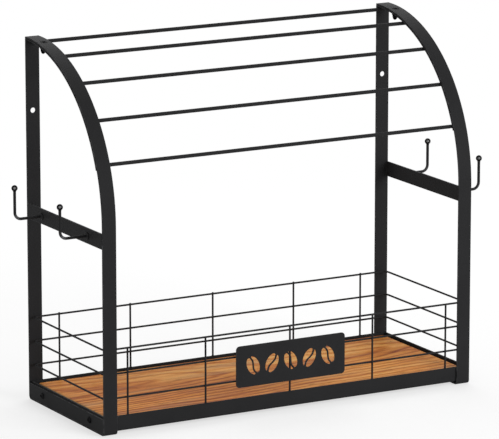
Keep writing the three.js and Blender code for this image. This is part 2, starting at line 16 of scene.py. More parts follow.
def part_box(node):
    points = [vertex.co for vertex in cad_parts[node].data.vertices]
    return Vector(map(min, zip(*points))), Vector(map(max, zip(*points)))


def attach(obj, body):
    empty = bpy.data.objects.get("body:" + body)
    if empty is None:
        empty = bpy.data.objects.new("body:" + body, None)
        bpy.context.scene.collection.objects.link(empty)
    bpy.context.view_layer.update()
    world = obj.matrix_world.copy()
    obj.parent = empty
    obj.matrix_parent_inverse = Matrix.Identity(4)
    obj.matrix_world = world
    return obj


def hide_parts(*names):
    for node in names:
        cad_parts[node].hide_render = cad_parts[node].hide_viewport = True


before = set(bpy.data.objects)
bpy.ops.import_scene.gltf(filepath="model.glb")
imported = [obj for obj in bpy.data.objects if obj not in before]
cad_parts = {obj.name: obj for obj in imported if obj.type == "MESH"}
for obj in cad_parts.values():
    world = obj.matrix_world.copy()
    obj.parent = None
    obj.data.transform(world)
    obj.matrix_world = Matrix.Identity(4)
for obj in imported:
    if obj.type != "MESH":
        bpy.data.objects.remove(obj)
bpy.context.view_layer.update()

MM = 0.001


# %% [markdown]
# ## The camera
# The straight edges of a known frame give the camera away: lines that are parallel on the object
# meet at vanishing points in a picture. Solved that way, the view is a long lens from the front
# left, a little above. Placing the camera by hand would never line up every edge at once.

# %% Set up the camera
IMAGE_WIDTH_PX = 499
FOCAL_LENGTH_PX = 4112.8
SENSOR_WIDTH = 36
QUARTER = pi / 2
CAMERA_TURN = radians(29.142)
CAMERA_TILT = radians(12.588)
CAMERA_PLACE = Vector((-2.02398, -3.62763, 1.11102))


def put_in_scene(name, data):
    """A new object in the scene, from a camera, a lamp or a mesh."""
    thing = bpy.data.objects.new(name, data)
    bpy.context.scene.collection.objects.link(thing)
    return thing


camera = put_in_scene("camera", bpy.data.cameras.new("camera"))
camera.data.sensor_fit = "HORIZONTAL"
camera.data.sensor_width = SENSOR_WIDTH
camera.data.lens = SENSOR_WIDTH * FOCAL_LENGTH_PX / IMAGE_WIDTH_PX
# A new camera looks straight down, so it is tilted up first and then turned.
tilt_up = Matrix.Rotation(QUARTER - CAMERA_TILT, 4, "X")
turn_right = Matrix.Rotation(-CAMERA_TURN, 4, "Z")
camera.matrix_world = Matrix.Translation(CAMERA_PLACE) @ turn_right @ tilt_up
bpy.context.scene.camera = camera
bpy.context.scene.view_settings.view_transform = "Standard"
print("camera: lens", round(camera.data.lens, 1), "mm")

# %% [markdown]
# ## Shader maths in plain Python
# Node trees get hard to read as soon as they hold sums. One small class wraps a socket, so that
# `0.5 + 0.2 * cloud` adds its Math nodes by itself, and one method makes any other node from its
# type, its settings and what goes into its sockets.

# %% Wrap sockets
class Signal:
    """One output of a node. Sums on it add Math nodes."""

    def __init__(self, socket):
        self.socket = socket

    def maths(self, operation, other, swapped=False):
        node = self.socket.id_data.nodes.new("ShaderNodeMath")
        node.operation = operation
        terms = (other, self) if swapped else (self, other)
        for entry, term in zip(node.inputs, terms):
            feed(entry, term)
        return Signal(node.outputs[0])

    def __add__(self, other):
        return self.maths("ADD", other)

    def __sub__(self, other):
        return self.maths("SUBTRACT", other)

    def __rsub__(self, other):
        return self.maths("SUBTRACT", other, swapped=True)

    def __mul__(self, other):
        return self.maths("MULTIPLY", other)

    __radd__ = __add__
    __rmul__ = __mul__


def feed(entry, value):
    """Links a signal to a socket, or sets a plain value on it."""
    if isinstance(value, Signal):
        entry.id_data.links.new(value.socket, entry)
    else:
        entry.default_value = value


def pick(sockets, key):
    """A socket by its place or by its name, among those that are in use."""
    used = [socket for socket in sockets if socket.enabled]
    return used[key] if isinstance(key, int) else next(s for s in used if s.name == key)


print("sockets wrapped: sums on a signal add Math nodes")

# %% Wrap node trees
class Graph:
    """The node tree of a material or of the world, started empty."""

    def __init__(self, owner):
        owner.use_nodes = True
        self.tree = owner.node_tree
        self.tree.nodes.clear()

    def add(self, kind, settings=(), sockets=(), take=0):
        """Any node: its type, its settings, what goes into its sockets, and the output to take."""
        node = self.tree.nodes.new("ShaderNode" + kind)
        for name, value in dict(settings).items():
            if name == "stops":
                set_stops(node.color_ramp.elements, value)
            else:
                setattr(node, name, value)
        for key, value in dict(sockets).items():
            feed(pick(node.inputs, key), value)
        return Signal(pick(node.outputs, take)) if node.outputs else None

    def blend(self, share, first, second):
        """Mixes two colours: share 0 gives the first, share 1 the second."""
        return self.add("Mix", {"data_type": "RGBA"}, {"Factor": share, "A": first, "B": second})

    def noise(self, place, scale, detail):
        return self.add("TexNoise", sockets={"Vector": place, "Scale": scale, "Detail": detail})

    def fade(self, value, low, high):
        """0 below low, 1 above high, and smooth between."""
        sockets = {"Value": value, "From Min": low, "From Max": high}
        return self.add("MapRange", {"interpolation_type": "SMOOTHSTEP"}, sockets)

    def bump(self, height, relief, strength=1.0):
        """A normal that tilts as if the surface rose by relief where height is 1."""
        return self.add("Bump", sockets={"Strength": strength, "Distance": relief, "Height": height})


def set_stops(elements, stops):
    while len(elements) < len(stops):
        elements.new(1.0)
    for element, (position, colour) in zip(elements, stops):
        element.position = position
        element.color = colour


def srgb(red, green, blue):
    """A screen colour, 0 to 255, in the linear numbers of shaders, by the standard sRGB curve."""
    shares = [value / 255 for value in (red, green, blue)]
    return tuple(v / 12.92 if v < 0.04045 else ((v + 0.055) / 1.055) ** 2.4 for v in shares) + (1.0,)


print("node trees wrapped; mid grey is", round(srgb(128, 128, 128)[0], 3))

# %% [markdown]
# ## The studio
# A catalogue picture stands on white that has no horizon. Flooding the object with light would
# bleach it, so the floor and the world only look white to the camera and in reflections, by the
# Light Path node, while the lamps stay at a plain level. The floor keeps some of its own shading,
# which is where the soft shadow shows. One softbox stands high behind the object, so that faces
# looking up catch a low sheen, and one in front lights the faces that look at the camera.

# %% Floor
FLOOR_HALF = 6.0
FLOOR_DROP = 0.1 * MM
FLOOR_COLOUR = srgb(236, 236, 236)
SHADOW_COLOUR = srgb(180, 180, 180)
FLOOR_LIFT = 0.63
SHADOW_REACH = (0.35, 1.1)
WHITE = (1.0, 1.0, 1.0, 1.0)


def new_material(name):
    """A material, its empty node tree, and the place of each point on the piece."""
    material = bpy.data.materials.new(name)
    graph = Graph(material)
    return material, graph, graph.add("TexCoord", take="Object")


def seen_directly(graph):
    """1 on rays from the camera and in reflections or glass, 0 where light bounces."""
    kinds = ["Is Camera Ray", "Is Glossy Ray", "Is Transmission Ray"]
    camera_ray, glossy_ray, glass_ray = [graph.add("LightPath", take=kind) for kind in kinds]
    return camera_ray.maths("MAXIMUM", glossy_ray).maths("MAXIMUM", glass_ray)


floor_material, graph, place = new_material("studio_floor")
bounce = graph.add("BsdfDiffuse", sockets={"Color": FLOOR_COLOUR})
shaded = graph.add("BsdfDiffuse", sockets={"Color": SHADOW_COLOUR})
lift = graph.add("Emission", sockets={"Color": WHITE, "Strength": FLOOR_LIFT})
lifted = graph.add("AddShader", sockets={0: shaded, 1: lift})
away = graph.add("VectorMath", {"operation": "LENGTH"}, {"Vector": place}, take="Value")
blank = graph.add("Emission", sockets={"Color": WHITE})
shown = graph.add("MixShader", sockets={0: graph.fade(away, *SHADOW_REACH), 1: lifted, 2: blank})
floor_light = graph.add("MixShader", sockets={0: seen_directly(graph), 1: bounce, 2: shown})
graph.add("OutputMaterial", sockets={"Surface": floor_light})

bm = bmesh.new()
bmesh.ops.create_grid(bm, x_segments=1, y_segments=1, size=FLOOR_HALF)
floor = put_in_scene("floor", bpy.data.meshes.new("floor"))
bm.to_mesh(floor.data)
bm.free()
floor.location.z = -FLOOR_DROP
floor.data.materials.append(floor_material)
print("floor:", 2 * FLOOR_HALF, "m wide")

# %% World and lamps
SKY_STRENGTH = 0.36
# Each lamp: where it stands, its width in metres and its power in watts.
SOFTBOXES = {
    "back_softbox": (Vector((0.8, 1.5, 1.8)), 2.0, 25),
    "front_softbox": (Vector((1.2, -2.4, 1.0)), 1.4, 41),
}
LAMP_AIM = Vector((0, 0, 0.2))

world = bpy.data.worlds.new("studio")
bpy.context.scene.world = world
graph = Graph(world)
strength = SKY_STRENGTH + (1 - SKY_STRENGTH) * seen_directly(graph)
sky = graph.add("Background", sockets={"Color": WHITE, "Strength": strength})
graph.add("OutputWorld", sockets={"Surface": sky})

for name, (spot, width, watts) in SOFTBOXES.items():
    lamp = put_in_scene(name, bpy.data.lights.new(name, "AREA"))
    lamp.data.shape = "SQUARE"
    lamp.data.size = width
    lamp.data.energy = watts
    lamp.location = spot
    lamp.rotation_euler = (LAMP_AIM - spot).to_track_quat("-Z", "Y").to_euler()
    print("lamp:", name, watts, "W")

# %% [markdown]
# ## Black powder coat
# The steel is sprayed with charged plastic powder and baked. The film is satin black with a faint
# orange peel, and its colour is painted darker in the hollows of the peel, as painted shade, over a
# random mottle. It is thinnest on the edges, which are painted grey: partly wear where handling
# polishes it, partly a painted highlight along the edge. Each mesh carries a number that is 1 along
# rounded edges, so the wear and the painted highlight follow the real geometry.

# %% Powder coat finish
# Dark end of the film: random mottle, and painted shade in the hollows of the peel.
COAT_DARK_AND_HOLLOW_SHADE = srgb(32, 32, 33)
COAT_FACE = srgb(52, 52, 53)
# Edge grey: wear, and a painted highlight along the edges.
COAT_WEAR_AND_HIGHLIGHT = srgb(112, 112, 114)
CLOUD_SCALE = 32
PEEL_SCALE = 600
GRAIN_SCALE = 1900
PATCH_SCALE = 150
PATCH_FADE = (0.36, 0.66)
CLOUD_SHARE = 0.4
PEEL_SHARE = 0.3
GRAIN_SHARE = 0.3
WEAR_AND_HIGHLIGHT_SHARE = 0.75
COAT_ROUGHNESS = 0.57
CLOUD_ROUGHNESS = 0.16
PEEL_ROUGHNESS = 0.08
RUBBED_POLISH = 0.12
COAT_SPECULAR = 0.04
COAT_RELIEF = 0.045 * MM
GRAIN_RELIEF = 0.7
NOISE_MIDDLE = 0.5


# The edge number: 1 on rounded edges, where the finishes paint wear and a painted highlight.
def read_wear_and_highlight(graph):
    return graph.add("Attribute", {"attribute_name": "rubbed"}, take="Fac")


def end_finish(material, graph, sockets):
    """Ends a finish in one shader."""
    shader = graph.add("BsdfPrincipled", sockets=sockets)
    graph.add("OutputMaterial", sockets={"Surface": shader})
    print("finish:", material.name)


coat_material, graph, place = new_material("black_powder_coat")
cloud = graph.noise(place, CLOUD_SCALE, detail=4)
peel = graph.noise(place, PEEL_SCALE, detail=2)
grain = graph.noise(place, GRAIN_SCALE, detail=2)
patches = graph.fade(graph.noise(place, PATCH_SCALE, detail=3), *PATCH_FADE)
# Grey on patches of the edges: partly wear, partly a painted highlight along the edge.
wear_and_highlight = read_wear_and_highlight(graph) * patches
# Darker where the peel and grain relief is low: painted shade in the hollows, over a random mottle from the
# cloud noise.
mottle_and_hollow_shade = CLOUD_SHARE * cloud + PEEL_SHARE * peel + GRAIN_SHARE * grain
colour = graph.blend(mottle_and_hollow_shade, COAT_DARK_AND_HOLLOW_SHADE, COAT_FACE)
roughness = COAT_ROUGHNESS + CLOUD_ROUGHNESS * (cloud - NOISE_MIDDLE)
roughness = roughness + PEEL_ROUGHNESS * (peel - NOISE_MIDDLE) - RUBBED_POLISH * wear_and_highlight
end_finish(coat_material, graph, {
    "Base Color": graph.blend(wear_and_highlight * WEAR_AND_HIGHLIGHT_SHARE, colour, COAT_WEAR_AND_HIGHLIGHT),
    "Roughness": roughness,
    "Specular IOR Level": COAT_SPECULAR,
    "Normal": graph.bump(peel + GRAIN_RELIEF * grain, COAT_RELIEF),
})

# %% [markdown]
# ## Black oxide on the fasteners
# Bolts, nuts and screws come blackened from the hardware shop: a thin dark oxide over bright
# steel. The oxide swallows light, so the shader is near black and hardly metallic, with fine
# turning marks in its roughness, and bare steel shows on the corners that a spanner has touched.

# %% Fastener finish
OXIDE_DARK = srgb(9, 9, 10)
OXIDE_LIGHT = srgb(17, 17, 18)
BARE_STEEL = srgb(120, 120, 122)
OXIDE_SCALE = 260
MARK_SCALE = 3200
BARE_FADE = (0.4, 0.7)
BARE_SHARE = 0.5
OXIDE_METALLIC = 0.05
BARE_METALLIC = 0.4
OXIDE_ROUGHNESS = 0.5
MARK_ROUGHNESS = 0.2
BARE_POLISH = 0.06
OXIDE_SPECULAR = 0.01
MARK_RELIEF = 0.02 * MM
MARK_STRENGTH = 0.2

fastener_material, graph, place = new_material("black_oxide_steel")
cloud = graph.noise(place, OXIDE_SCALE, detail=3)
marks = graph.noise(place, MARK_SCALE, detail=2)
wear_and_highlight = read_wear_and_highlight(graph) * graph.fade(cloud, *BARE_FADE)
colour = graph.blend(cloud, OXIDE_DARK, OXIDE_LIGHT)
end_finish(fastener_material, graph, {
    "Base Color": graph.blend(wear_and_highlight * BARE_SHARE, colour, BARE_STEEL),
    "Metallic": OXIDE_METALLIC + BARE_METALLIC * wear_and_highlight,
    "Roughness": OXIDE_ROUGHNESS + MARK_ROUGHNESS * (marks - NOISE_MIDDLE) - BARE_POLISH * wear_and_highlight,
    "Specular IOR Level": OXIDE_SPECULAR,
    "Normal": graph.bump(marks, MARK_RELIEF, MARK_STRENGTH),
})

# %% [markdown]
# ## Gloss enamel on the hook tips
# The ball on each hook is dipped in enamel, so nothing scratches, and it dries to a black drop with
# one small highlight. In a dark room the rim of such a drop stays black. This studio is white all
# round, and a mirror-like rim would turn pale, so a Layer Weight node keeps the clear coat to the
# middle of the drop.

# %% Enamel finish
ENAMEL_DEEP = srgb(12, 12, 13)
ENAMEL_FACE = srgb(22, 22, 23)
ENAMEL_SCALE = 220
RIPPLE_SCALE = 420
ENAMEL_ROUGHNESS = 0.5
ENAMEL_UNEVEN = 0.08
ENAMEL_SPECULAR = 0.03
GLOSS_SPREAD = (0.0, 0.14)
GLOSS_IOR = 2.5
GLOSS_ROUGHNESS = 0.12
RIPPLE_RELIEF = 0.03 * MM
RIPPLE_STRENGTH = 0.2

enamel_material, graph, place = new_material("black_gloss_enamel")
cloud = graph.noise(place, ENAMEL_SCALE, detail=3)
ripple = graph.noise(place, RIPPLE_SCALE, detail=1)
turned_away = graph.add("LayerWeight", take="Facing")
end_finish(enamel_material, graph, {
    "Base Color": graph.blend(cloud, ENAMEL_DEEP, ENAMEL_FACE),
    "Roughness": ENAMEL_ROUGHNESS + ENAMEL_UNEVEN * (cloud - NOISE_MIDDLE),
    "Specular IOR Level": ENAMEL_SPECULAR,
    "Coat Weight": 1 - graph.fade(turned_away, *GLOSS_SPREAD),
    "Coat IOR": GLOSS_IOR,
    "Coat Roughness": GLOSS_ROUGHNESS,
    "Normal": graph.bump(ripple, RIPPLE_RELIEF, RIPPLE_STRENGTH),
})

# %% [markdown]
# ## Rustic wood
# The shelf is a small board with an orange-brown, open-grained face. Grain is made the way a tree
# makes it: growth rings cut lengthwise give long bowed bands, fibres give fine streaks, pores give
# short dark dashes, and dry stretches give dull pale ones. All of them are noise or sums stretched
# along the board, X here, because a picture of wood would show its seams on the edges.

# %% Wood grain
# Each kind of grain: its scale along the board, its scale across it, and its detail.
GRAIN = {
    "wander": (4.2, 13.0, 3),
    "tint": (3.2, 26.0, 4),
    "streak": (5.0, 150.0, 3),
    "fibre": (14.0, 700.0, 4),
    "dry": (7.0, 75.0, 3),
    "pore": (60.0, 1300.0, 1),
}
DRY_FADE = (0.48, 0.72)
PORE_FADE = (0.6, 0.7)

wood_material, graph, place = new_material("rustic_wood")


def stretched_noise(along, across, detail):
    """Noise that is long in X and short in Y and Z."""
    spread = graph.add("Mapping", sockets={"Vector": place, "Scale": (along, across, across)})
    return graph.noise(spread, 1.0, detail)


wander, tint, streak, fibre, dry, pore = [stretched_noise(*kind) for kind in GRAIN.values()]
dry = graph.fade(dry, *DRY_FADE)
pore = graph.fade(pore, *PORE_FADE)
print("grain:", *GRAIN)

# %% Growth rings
RINGS_PER_METRE = 150
HEART_ASIDE = 30 * MM
HEART_DEPTH = 36 * MM
HEART_SLOPE = 0.075
RING_WANDER = 34 * MM
HALF_RING = 0.5
LATE_FADE = (0.35, 1.0)
LATE_LEAST = 0.4
LATE_STREAKS = 1.2

along, across, up = [graph.add("SeparateXYZ", sockets={"Vector": place}, take=axis) for axis in "XYZ"]
aside = across - HEART_ASIDE
depth = up + HEART_SLOPE * along + HEART_DEPTH
spoke = graph.add("CombineXYZ", sockets={"Y": aside, "Z": depth})
heart_distance = graph.add("VectorMath", {"operation": "LENGTH"}, {0: spoke}, take="Value")
ring = RINGS_PER_METRE * (heart_distance + RING_WANDER * (wander - NOISE_MIDDLE))
through_ring = ring.maths("PINGPONG", HALF_RING) * (1 / HALF_RING)
late = graph.fade(through_ring, *LATE_FADE) * (LATE_LEAST + LATE_STREAKS * streak)
print("rings:", RINGS_PER_METRE, "to the metre")

# %% Wood finish
WOOD_STOPS = [
    (0.00, srgb(62, 28, 13)),
    (0.28, srgb(130, 62, 22)),
    (0.52, srgb(188, 105, 38)),
    (0.76, srgb(222, 144, 63)),
    (1.00, srgb(240, 180, 102)),
]
WOOD_DRY = srgb(186, 140, 98)
# Pale arris: bared wood, and a painted highlight where the eased edge catches the light.
WOOD_EDGE_WEAR_AND_HIGHLIGHT = srgb(222, 176, 120)
WOOD_PORE = srgb(58, 28, 14)
TONE_MIDDLE = 0.75
TINT_TONE = 0.95
STREAK_TONE = 0.7
FIBRE_TONE = 0.75
LATE_TONE = 0.3
DRY_SHARE = 0.5
PORE_SHARE = 0.6
EDGE_WEAR_AND_HIGHLIGHT_SHARE = 0.75
WOOD_ROUGHNESS = 0.55
FIBRE_ROUGHNESS = 0.18
PORE_ROUGHNESS = 0.2
WOOD_SPECULAR = 0.05
FIBRE_RELIEF = 0.5
LATE_RELIEF = 0.35
PORE_RELIEF = 0.6
WOOD_RELIEF = 0.12 * MM
WOOD_STRENGTH = 0.35

tone = TONE_MIDDLE + TINT_TONE * (tint - NOISE_MIDDLE) + STREAK_TONE * (streak - NOISE_MIDDLE)
tone = tone + FIBRE_TONE * (fibre - NOISE_MIDDLE) - LATE_TONE * late
colour = graph.add("ValToRGB", {"stops": WOOD_STOPS}, {"Fac": tone})
colour = graph.blend(dry * DRY_SHARE, colour, WOOD_DRY)
colour = graph.blend(pore * PORE_SHARE, colour, WOOD_PORE)
relief = FIBRE_RELIEF * fibre - LATE_RELIEF * late - PORE_RELIEF * pore
end_finish(wood_material, graph, {
    "Base Color": graph.blend(read_wear_and_highlight(graph) * EDGE_WEAR_AND_HIGHLIGHT_SHARE, colour, WOOD_EDGE_WEAR_AND_HIGHLIGHT),
    "Roughness": WOOD_ROUGHNESS + FIBRE_ROUGHNESS * (fibre - NOISE_MIDDLE) + PORE_ROUGHNESS * pore,
    "Specular IOR Level": WOOD_SPECULAR,
    "Normal": graph.bump(relief, WOOD_RELIEF, WOOD_STRENGTH),
})

# %% [markdown]
# ## Two ways to make metal
# Nearly everything here is either cut from flat stock or drawn as a round bar. So two builders do
# the work. A plate is an outline, with holes if it has any, swept straight through its thickness
# with rounded edges. A bar is a row of circles along a path, and its radius may change on the way,
# which makes collars, balls and bolt heads as well.

# %% Outlines
CORNER_STEPS = 4
ARC_STEP = radians(2.5)
BLUNT_CORNER = radians(140)
MITRE_LIMIT = 0.5


def sweep(angle, steps):
    """Even angles from 0 up to an angle."""
    return [angle * k / steps for k in range(steps + 1)]


def arc(centre, radius, start, end, step=ARC_STEP):
    """Points on an arc round a centre, from one angle to another, in radians."""
    steps = max(CORNER_STEPS, round(abs(end - start) / step))
    turns = [start + turn for turn in sweep(end - start, steps)]
    return [(centre[0] + radius * cos(t), centre[1] + radius * sin(t)) for t in turns]


def soften(outline, radius):
    """Rounds the sharp corners of an outline."""
    outline = [Vector(point) for point in outline]
    soft = []
    for index, here in enumerate(outline):
        come = (outline[index - 1] - here).normalized()
        go = (outline[(index + 1) % len(outline)] - here).normalized()
        half = come.angle(go) / 2
        if 2 * half > BLUNT_CORNER:
            soft.append(here)
            continue
        middle = here + (come + go).normalized() * (radius / sin(half))
        first = here + come * (radius / tan(half)) - middle
        last = here + go * (radius / tan(half)) - middle
        swing = pi - 2 * half
        for step in range(CORNER_STEPS + 1):
            share = step / CORNER_STEPS
            reach = first * sin((1 - share) * swing) + last * sin(share * swing)
            soft.append(middle + reach / sin(swing))
    return soft


def inset(outline, distance):
    """Moves an outline to its left, which is into the metal, keeping its corners mitred."""
    moved = []
    for index, here in enumerate(outline):
        come = (here - outline[index - 1]).normalized()
        go = (outline[(index + 1) % len(outline)] - here).normalized()
        left = Vector((-come.y - go.y, come.x + go.x))
        moved.append(here + left * (distance / max(MITRE_LIMIT, 1 + come.dot(go))))
    return moved


print("outline tools ready")

# %% Meshes
def new_metal():
    """An empty mesh whose points carry the edge number, for wear and a painted edge highlight."""
    bm = bmesh.new()
    bm.verts.layers.float.new("rubbed")
    return bm


def add_ring(bm, places, edge_wear_and_highlight):
    """A ring of points that share one edge number, for wear and a painted highlight."""
    rubbed = bm.verts.layers.float["rubbed"]
    ring = [bm.verts.new(place) for place in places]
    for point in ring:
        point[rubbed] = edge_wear_and_highlight
    return ring


def skin(bm, first, second):
    """Faces between two rings of points. A ring of one point is a tip."""
    count = max(len(first), len(second))
    for k in range(count):
        corners = [first[k % len(first)], first[(k + 1) % len(first)]]
        corners += [second[(k + 1) % len(second)], second[k % len(second)]]
        bm.faces.new(list(dict.fromkeys(corners)))


def solid(bm, name):
    """A new object from a finished mesh, its faces pointing out."""
    bmesh.ops.recalc_face_normals(bm, faces=bm.faces[:])
    mesh = bpy.data.meshes.new(name)
    bm.to_mesh(mesh)
    bm.free()
    return put_in_scene(name, mesh)


print("mesh tools ready")

# %% Plates
EDGE_STEPS = 4


def along_x(u, v, w):
    return Vector((w, u, v))


def along_y(u, v, w):
    return Vector((u, w, v))


def along_z(u, v, w):
    return Vector((u, v, w))


def rounding(across, along):
    """A quarter-round edge: how far in it is, how far along, and how much wear and painted highlight it
    gets, step by step.
    """
    turns = sweep(QUARTER, EDGE_STEPS)
    return [(across * (1 - sin(t)), along * (1 - cos(t)), sin(2 * t)) for t in turns]


def plate(name, outlines, low, high, edge, lay):
    """A plate from one outline and its holes, from low to high, its edges rounded."""
    bm = new_metal()
    levels = [(inward, low + along, edge_wear_and_highlight) for inward, along, edge_wear_and_highlight in rounding(edge, edge)]
    levels += [(inward, low + high - level, edge_wear_and_highlight) for inward, level, edge_wear_and_highlight in reversed(levels)]
    rims = {0: [], -1: []}
    for outline in outlines:
        rings = []
        for inward, level, edge_wear_and_highlight in levels:
            rings.append(add_ring(bm, [lay(u, v, level) for u, v in inset(outline, inward)], edge_wear_and_highlight))
        for first, second in zip(rings, rings[1:]):
            skin(bm, first, second)
        for end in rims:
            ring = rings[end]
            rims[end] += [bm.edges.get((a, b)) for a, b in zip(ring, ring[1:] + ring[:1])]
    for edges in rims.values():
        bmesh.ops.triangle_fill(bm, edges=edges, use_beauty=True)
    return solid(bm, name)


print("plate builder ready")

# %% Round bars
# The last field of a station is its edge number, for wear and a painted highlight.
Station = namedtuple("Station", "point way radius rubbed", defaults=(0.0,))
TURNED_SIDES = 48


def capped(stations):
    """Closes a bar flat at an end that is not a tip already."""
    first, last = stations[0], stations[-1]
    near = [first._replace(radius=0, rubbed=0.0)] if first.radius else []
    far = [last._replace(radius=0, rubbed=0.0)] if last.radius else []
    return near + stations + far


def add_bar(bm, stations, across, sides, closed=False):
    """A round bar through stations. across is a direction square to all of its bends."""
    rings = []
    for station in stations if closed else capped(stations):
        out = station.way.cross(across).normalized()
        turns = [2 * pi * k / sides for k in range(sides if station.radius else 1)]
        reach = [(across * cos(t) + out * sin(t)) * station.radius for t in turns]
        rings.append(add_ring(bm, [station.point + step for step in reach], station.rubbed))
    following = rings[1:] + rings[:1] if closed else rings[1:]
    for first, second in zip(rings, following):
        skin(bm, first, second)


def bar(name, stations, across, sides, closed=False):
    bm = new_metal()
    add_bar(bm, stations, across, sides, closed)
    return solid(bm, name)


def add_turned(bm, base, way, profile, sides, turn=0.0):
    """A turned piece: lengths along a line from base, with the radius at each and any edge number for wear
    and painted highlight.
    """
    across = Matrix.Rotation(turn, 3, way) @ way.orthogonal().normalized()
    add_bar(bm, [Station(base + way * length, way, *rest) for length, *rest in profile], across, sides)


def turned(name, base, way, profile, sides=TURNED_SIDES, turn=0.0):
    bm = new_metal()
    add_turned(bm, base, way, profile, sides, turn)
    return solid(bm, name)


def rounded_end(radius, edge):
    """The profile of a bar's end, from the rim of its face out to its side."""
    return [(along, radius - inward, edge_wear_and_highlight) for inward, along, edge_wear_and_highlight in rounding(edge, edge)]


def far_end(profile, whole):
    """The same profile at the other end of a piece that is so long as a whole."""
    return [(whole - length, *rest) for length, *rest in reversed(profile)]


def rod(name, start, end, radius, edge, sides, turn=0.0):
    """A straight rod with rounded ends."""
    near = rounded_end(radius, edge)
    profile = near + far_end(near, (end - start).length)
    return turned(name, start, (end - start).normalized(), profile, sides, turn)


print("bar builder ready")

# %% Pieces on the frame
SMOOTH_BELOW = radians(48)
FINISHES = {"black_coat": coat_material, "fastener": fastener_material, "wood": wood_material}
SIDES = {"left": -1, "right": 1}
ENDS = {"front": -1, "rear": 1}


def dress(piece, *nodes, finish="black_coat", material=None):
    """Smooths a piece, gives it its finish, hangs it on the root body and hides the nodes it stands for."""
    mesh = piece.data
    mesh.materials.clear()
    mesh.materials.append(material or FINISHES[finish])
    mesh.shade_smooth()
    mesh.set_sharp_from_angle(angle=SMOOTH_BELOW)
    piece.modifiers.new("flat_faces", "WEIGHTED_NORMAL").keep_sharp = True
    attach(piece, "root")
    if nodes:
        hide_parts(*nodes)
    print("  ", piece.name, len(mesh.polygons), "faces")


def middle_of(node):
    low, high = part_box(node)
    return (low + high) / 2


def corner_of(node, sign):
    """The corner of a node's box on one side: its low corner for -1, its high one for 1."""
    low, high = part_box(node)
    return high if sign > 0 else low


def at(point, **changes):
    """A copy of a point with some of its coordinates changed."""
    spot = point.copy()
    for axis, value in changes.items():
        setattr(spot, axis, value)
    return spot


def middle_line(node, axis):
    """Both ends of the middle line of a node's box along an axis."""
    return [at(middle_of(node), **{axis: getattr(corner, axis)}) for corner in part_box(node)]


print("slots:", *FINISHES)

# %% [markdown]
# ## Side frames
# Each side frame is 15.5 mm strip, bent cold round a former: one length makes the arch, the front
# post, the front foot and most of the floor run, and a second makes the rear post. Drawing the bent
# strip edge-on as an outline keeps its thickness true all the way round, which a curve with a
# bevel does not do at tight bends.

# %% Arches and rear posts
arch_low, arch_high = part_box("front_arch_right")
post_low, post_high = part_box("rear_post_right")
STRIP_THICK = arch_high.z - post_high.z
FRAME_TOP = arch_high.z
BACK_Y = arch_high.y
SEAM_Y = post_low.y
POST_INNER_Y = BACK_Y - STRIP_THICK
ARCH_LEVEL = 0.4 * MM
ARCH_RADIUS = BACK_Y - arch_low.y - STRIP_THICK - ARCH_LEVEL
ARCH_CENTRE = (ARCH_RADIUS - BACK_Y, FRAME_TOP - ARCH_RADIUS)
FOOT_RADIUS = 4 * MM
FOOT_STEP = radians(9)
STRIP_EDGE = 0.4 * MM
STRIP_END = 0.5 * MM


def arch_outline():
    foot = (FOOT_RADIUS - BACK_Y, FOOT_RADIUS)
    outline = [(BACK_Y, FRAME_TOP)]
    outline += arc(ARCH_CENTRE, ARCH_RADIUS, QUARTER, 2 * QUARTER)
    outline += arc(foot, FOOT_RADIUS, 2 * QUARTER, 3 * QUARTER, FOOT_STEP)
    outline += [(SEAM_Y, 0), (SEAM_Y, STRIP_THICK)]
    outline += arc(foot, FOOT_RADIUS - STRIP_THICK, 3 * QUARTER, 2 * QUARTER, FOOT_STEP)
    outline += arc(ARCH_CENTRE, ARCH_RADIUS - STRIP_THICK, 2 * QUARTER, QUARTER)
    outline += [(BACK_Y, FRAME_TOP - STRIP_THICK)]
    return soften(outline, STRIP_END)


def post_outline():
    foot = (BACK_Y - FOOT_RADIUS, FOOT_RADIUS)
    outline = [(BACK_Y, post_high.z), (POST_INNER_Y, post_high.z)]
    outline += arc(foot, FOOT_RADIUS - STRIP_THICK, 0, -QUARTER, FOOT_STEP)
    outline += [(SEAM_Y, STRIP_THICK), (SEAM_Y, 0)]
    outline += arc(foot, FOOT_RADIUS, -QUARTER, 0, FOOT_STEP)
    return soften(outline, STRIP_END)


def strip(name, node, outline, edge):
    """A plate drawn from the side, as wide as its node in X."""
    low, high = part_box(node)
    return plate(name, [outline], low.x, high.x, edge, along_x)


arches = {s: strip(f"{s}_arch", f"front_arch_{s}", arch_outline(), STRIP_EDGE) for s in SIDES}
posts = {s: strip(f"{s}_rear_post", f"rear_post_{s}", post_outline(), STRIP_EDGE) for s in SIDES}
print("arch radius", round(ARCH_RADIUS / MM, 1), "mm, strip", round(STRIP_THICK / MM, 2), "mm thick")

# %% [markdown]
# ## Holes in the strips
# Two kinds of hole show. Each rear post has a plain one for a wall screw, and each arch has a
# countersunk one for the bolt that holds the rack. A boolean with a turned cutter makes both, and
# the cutter is flared at its ends so that the rims come out deburred instead of razor sharp.

# %% Wall holes
STRIP_MIDDLE_X = middle_of("front_arch_right").x
WALL_HOLE_RADIUS = 2.75 * MM
WALL_HOLE_DROP = 76.9 * MM
DEBURR = 0.3 * MM
CUT_PAST = 1 * MM
HOLE_SIDES = 40
BACKWARDS = Vector((0, 1, 0))


def carve(piece, tool, operation="DIFFERENCE"):
    """Cuts a piece with a tool, or joins or crosses the two, and puts the tool away."""
    change = piece.modifiers.new("carve", "BOOLEAN")
    change.operation = operation
    change.solver = "EXACT"
    change.object = tool
    depsgraph = bpy.context.evaluated_depsgraph_get()
    seen = piece.evaluated_get(depsgraph)
    carved = bpy.data.meshes.new_from_object(seen, preserve_all_data_layers=True, depsgraph=depsgraph)
    piece.modifiers.remove(change)
    piece.data = carved
    bpy.data.objects.remove(tool)


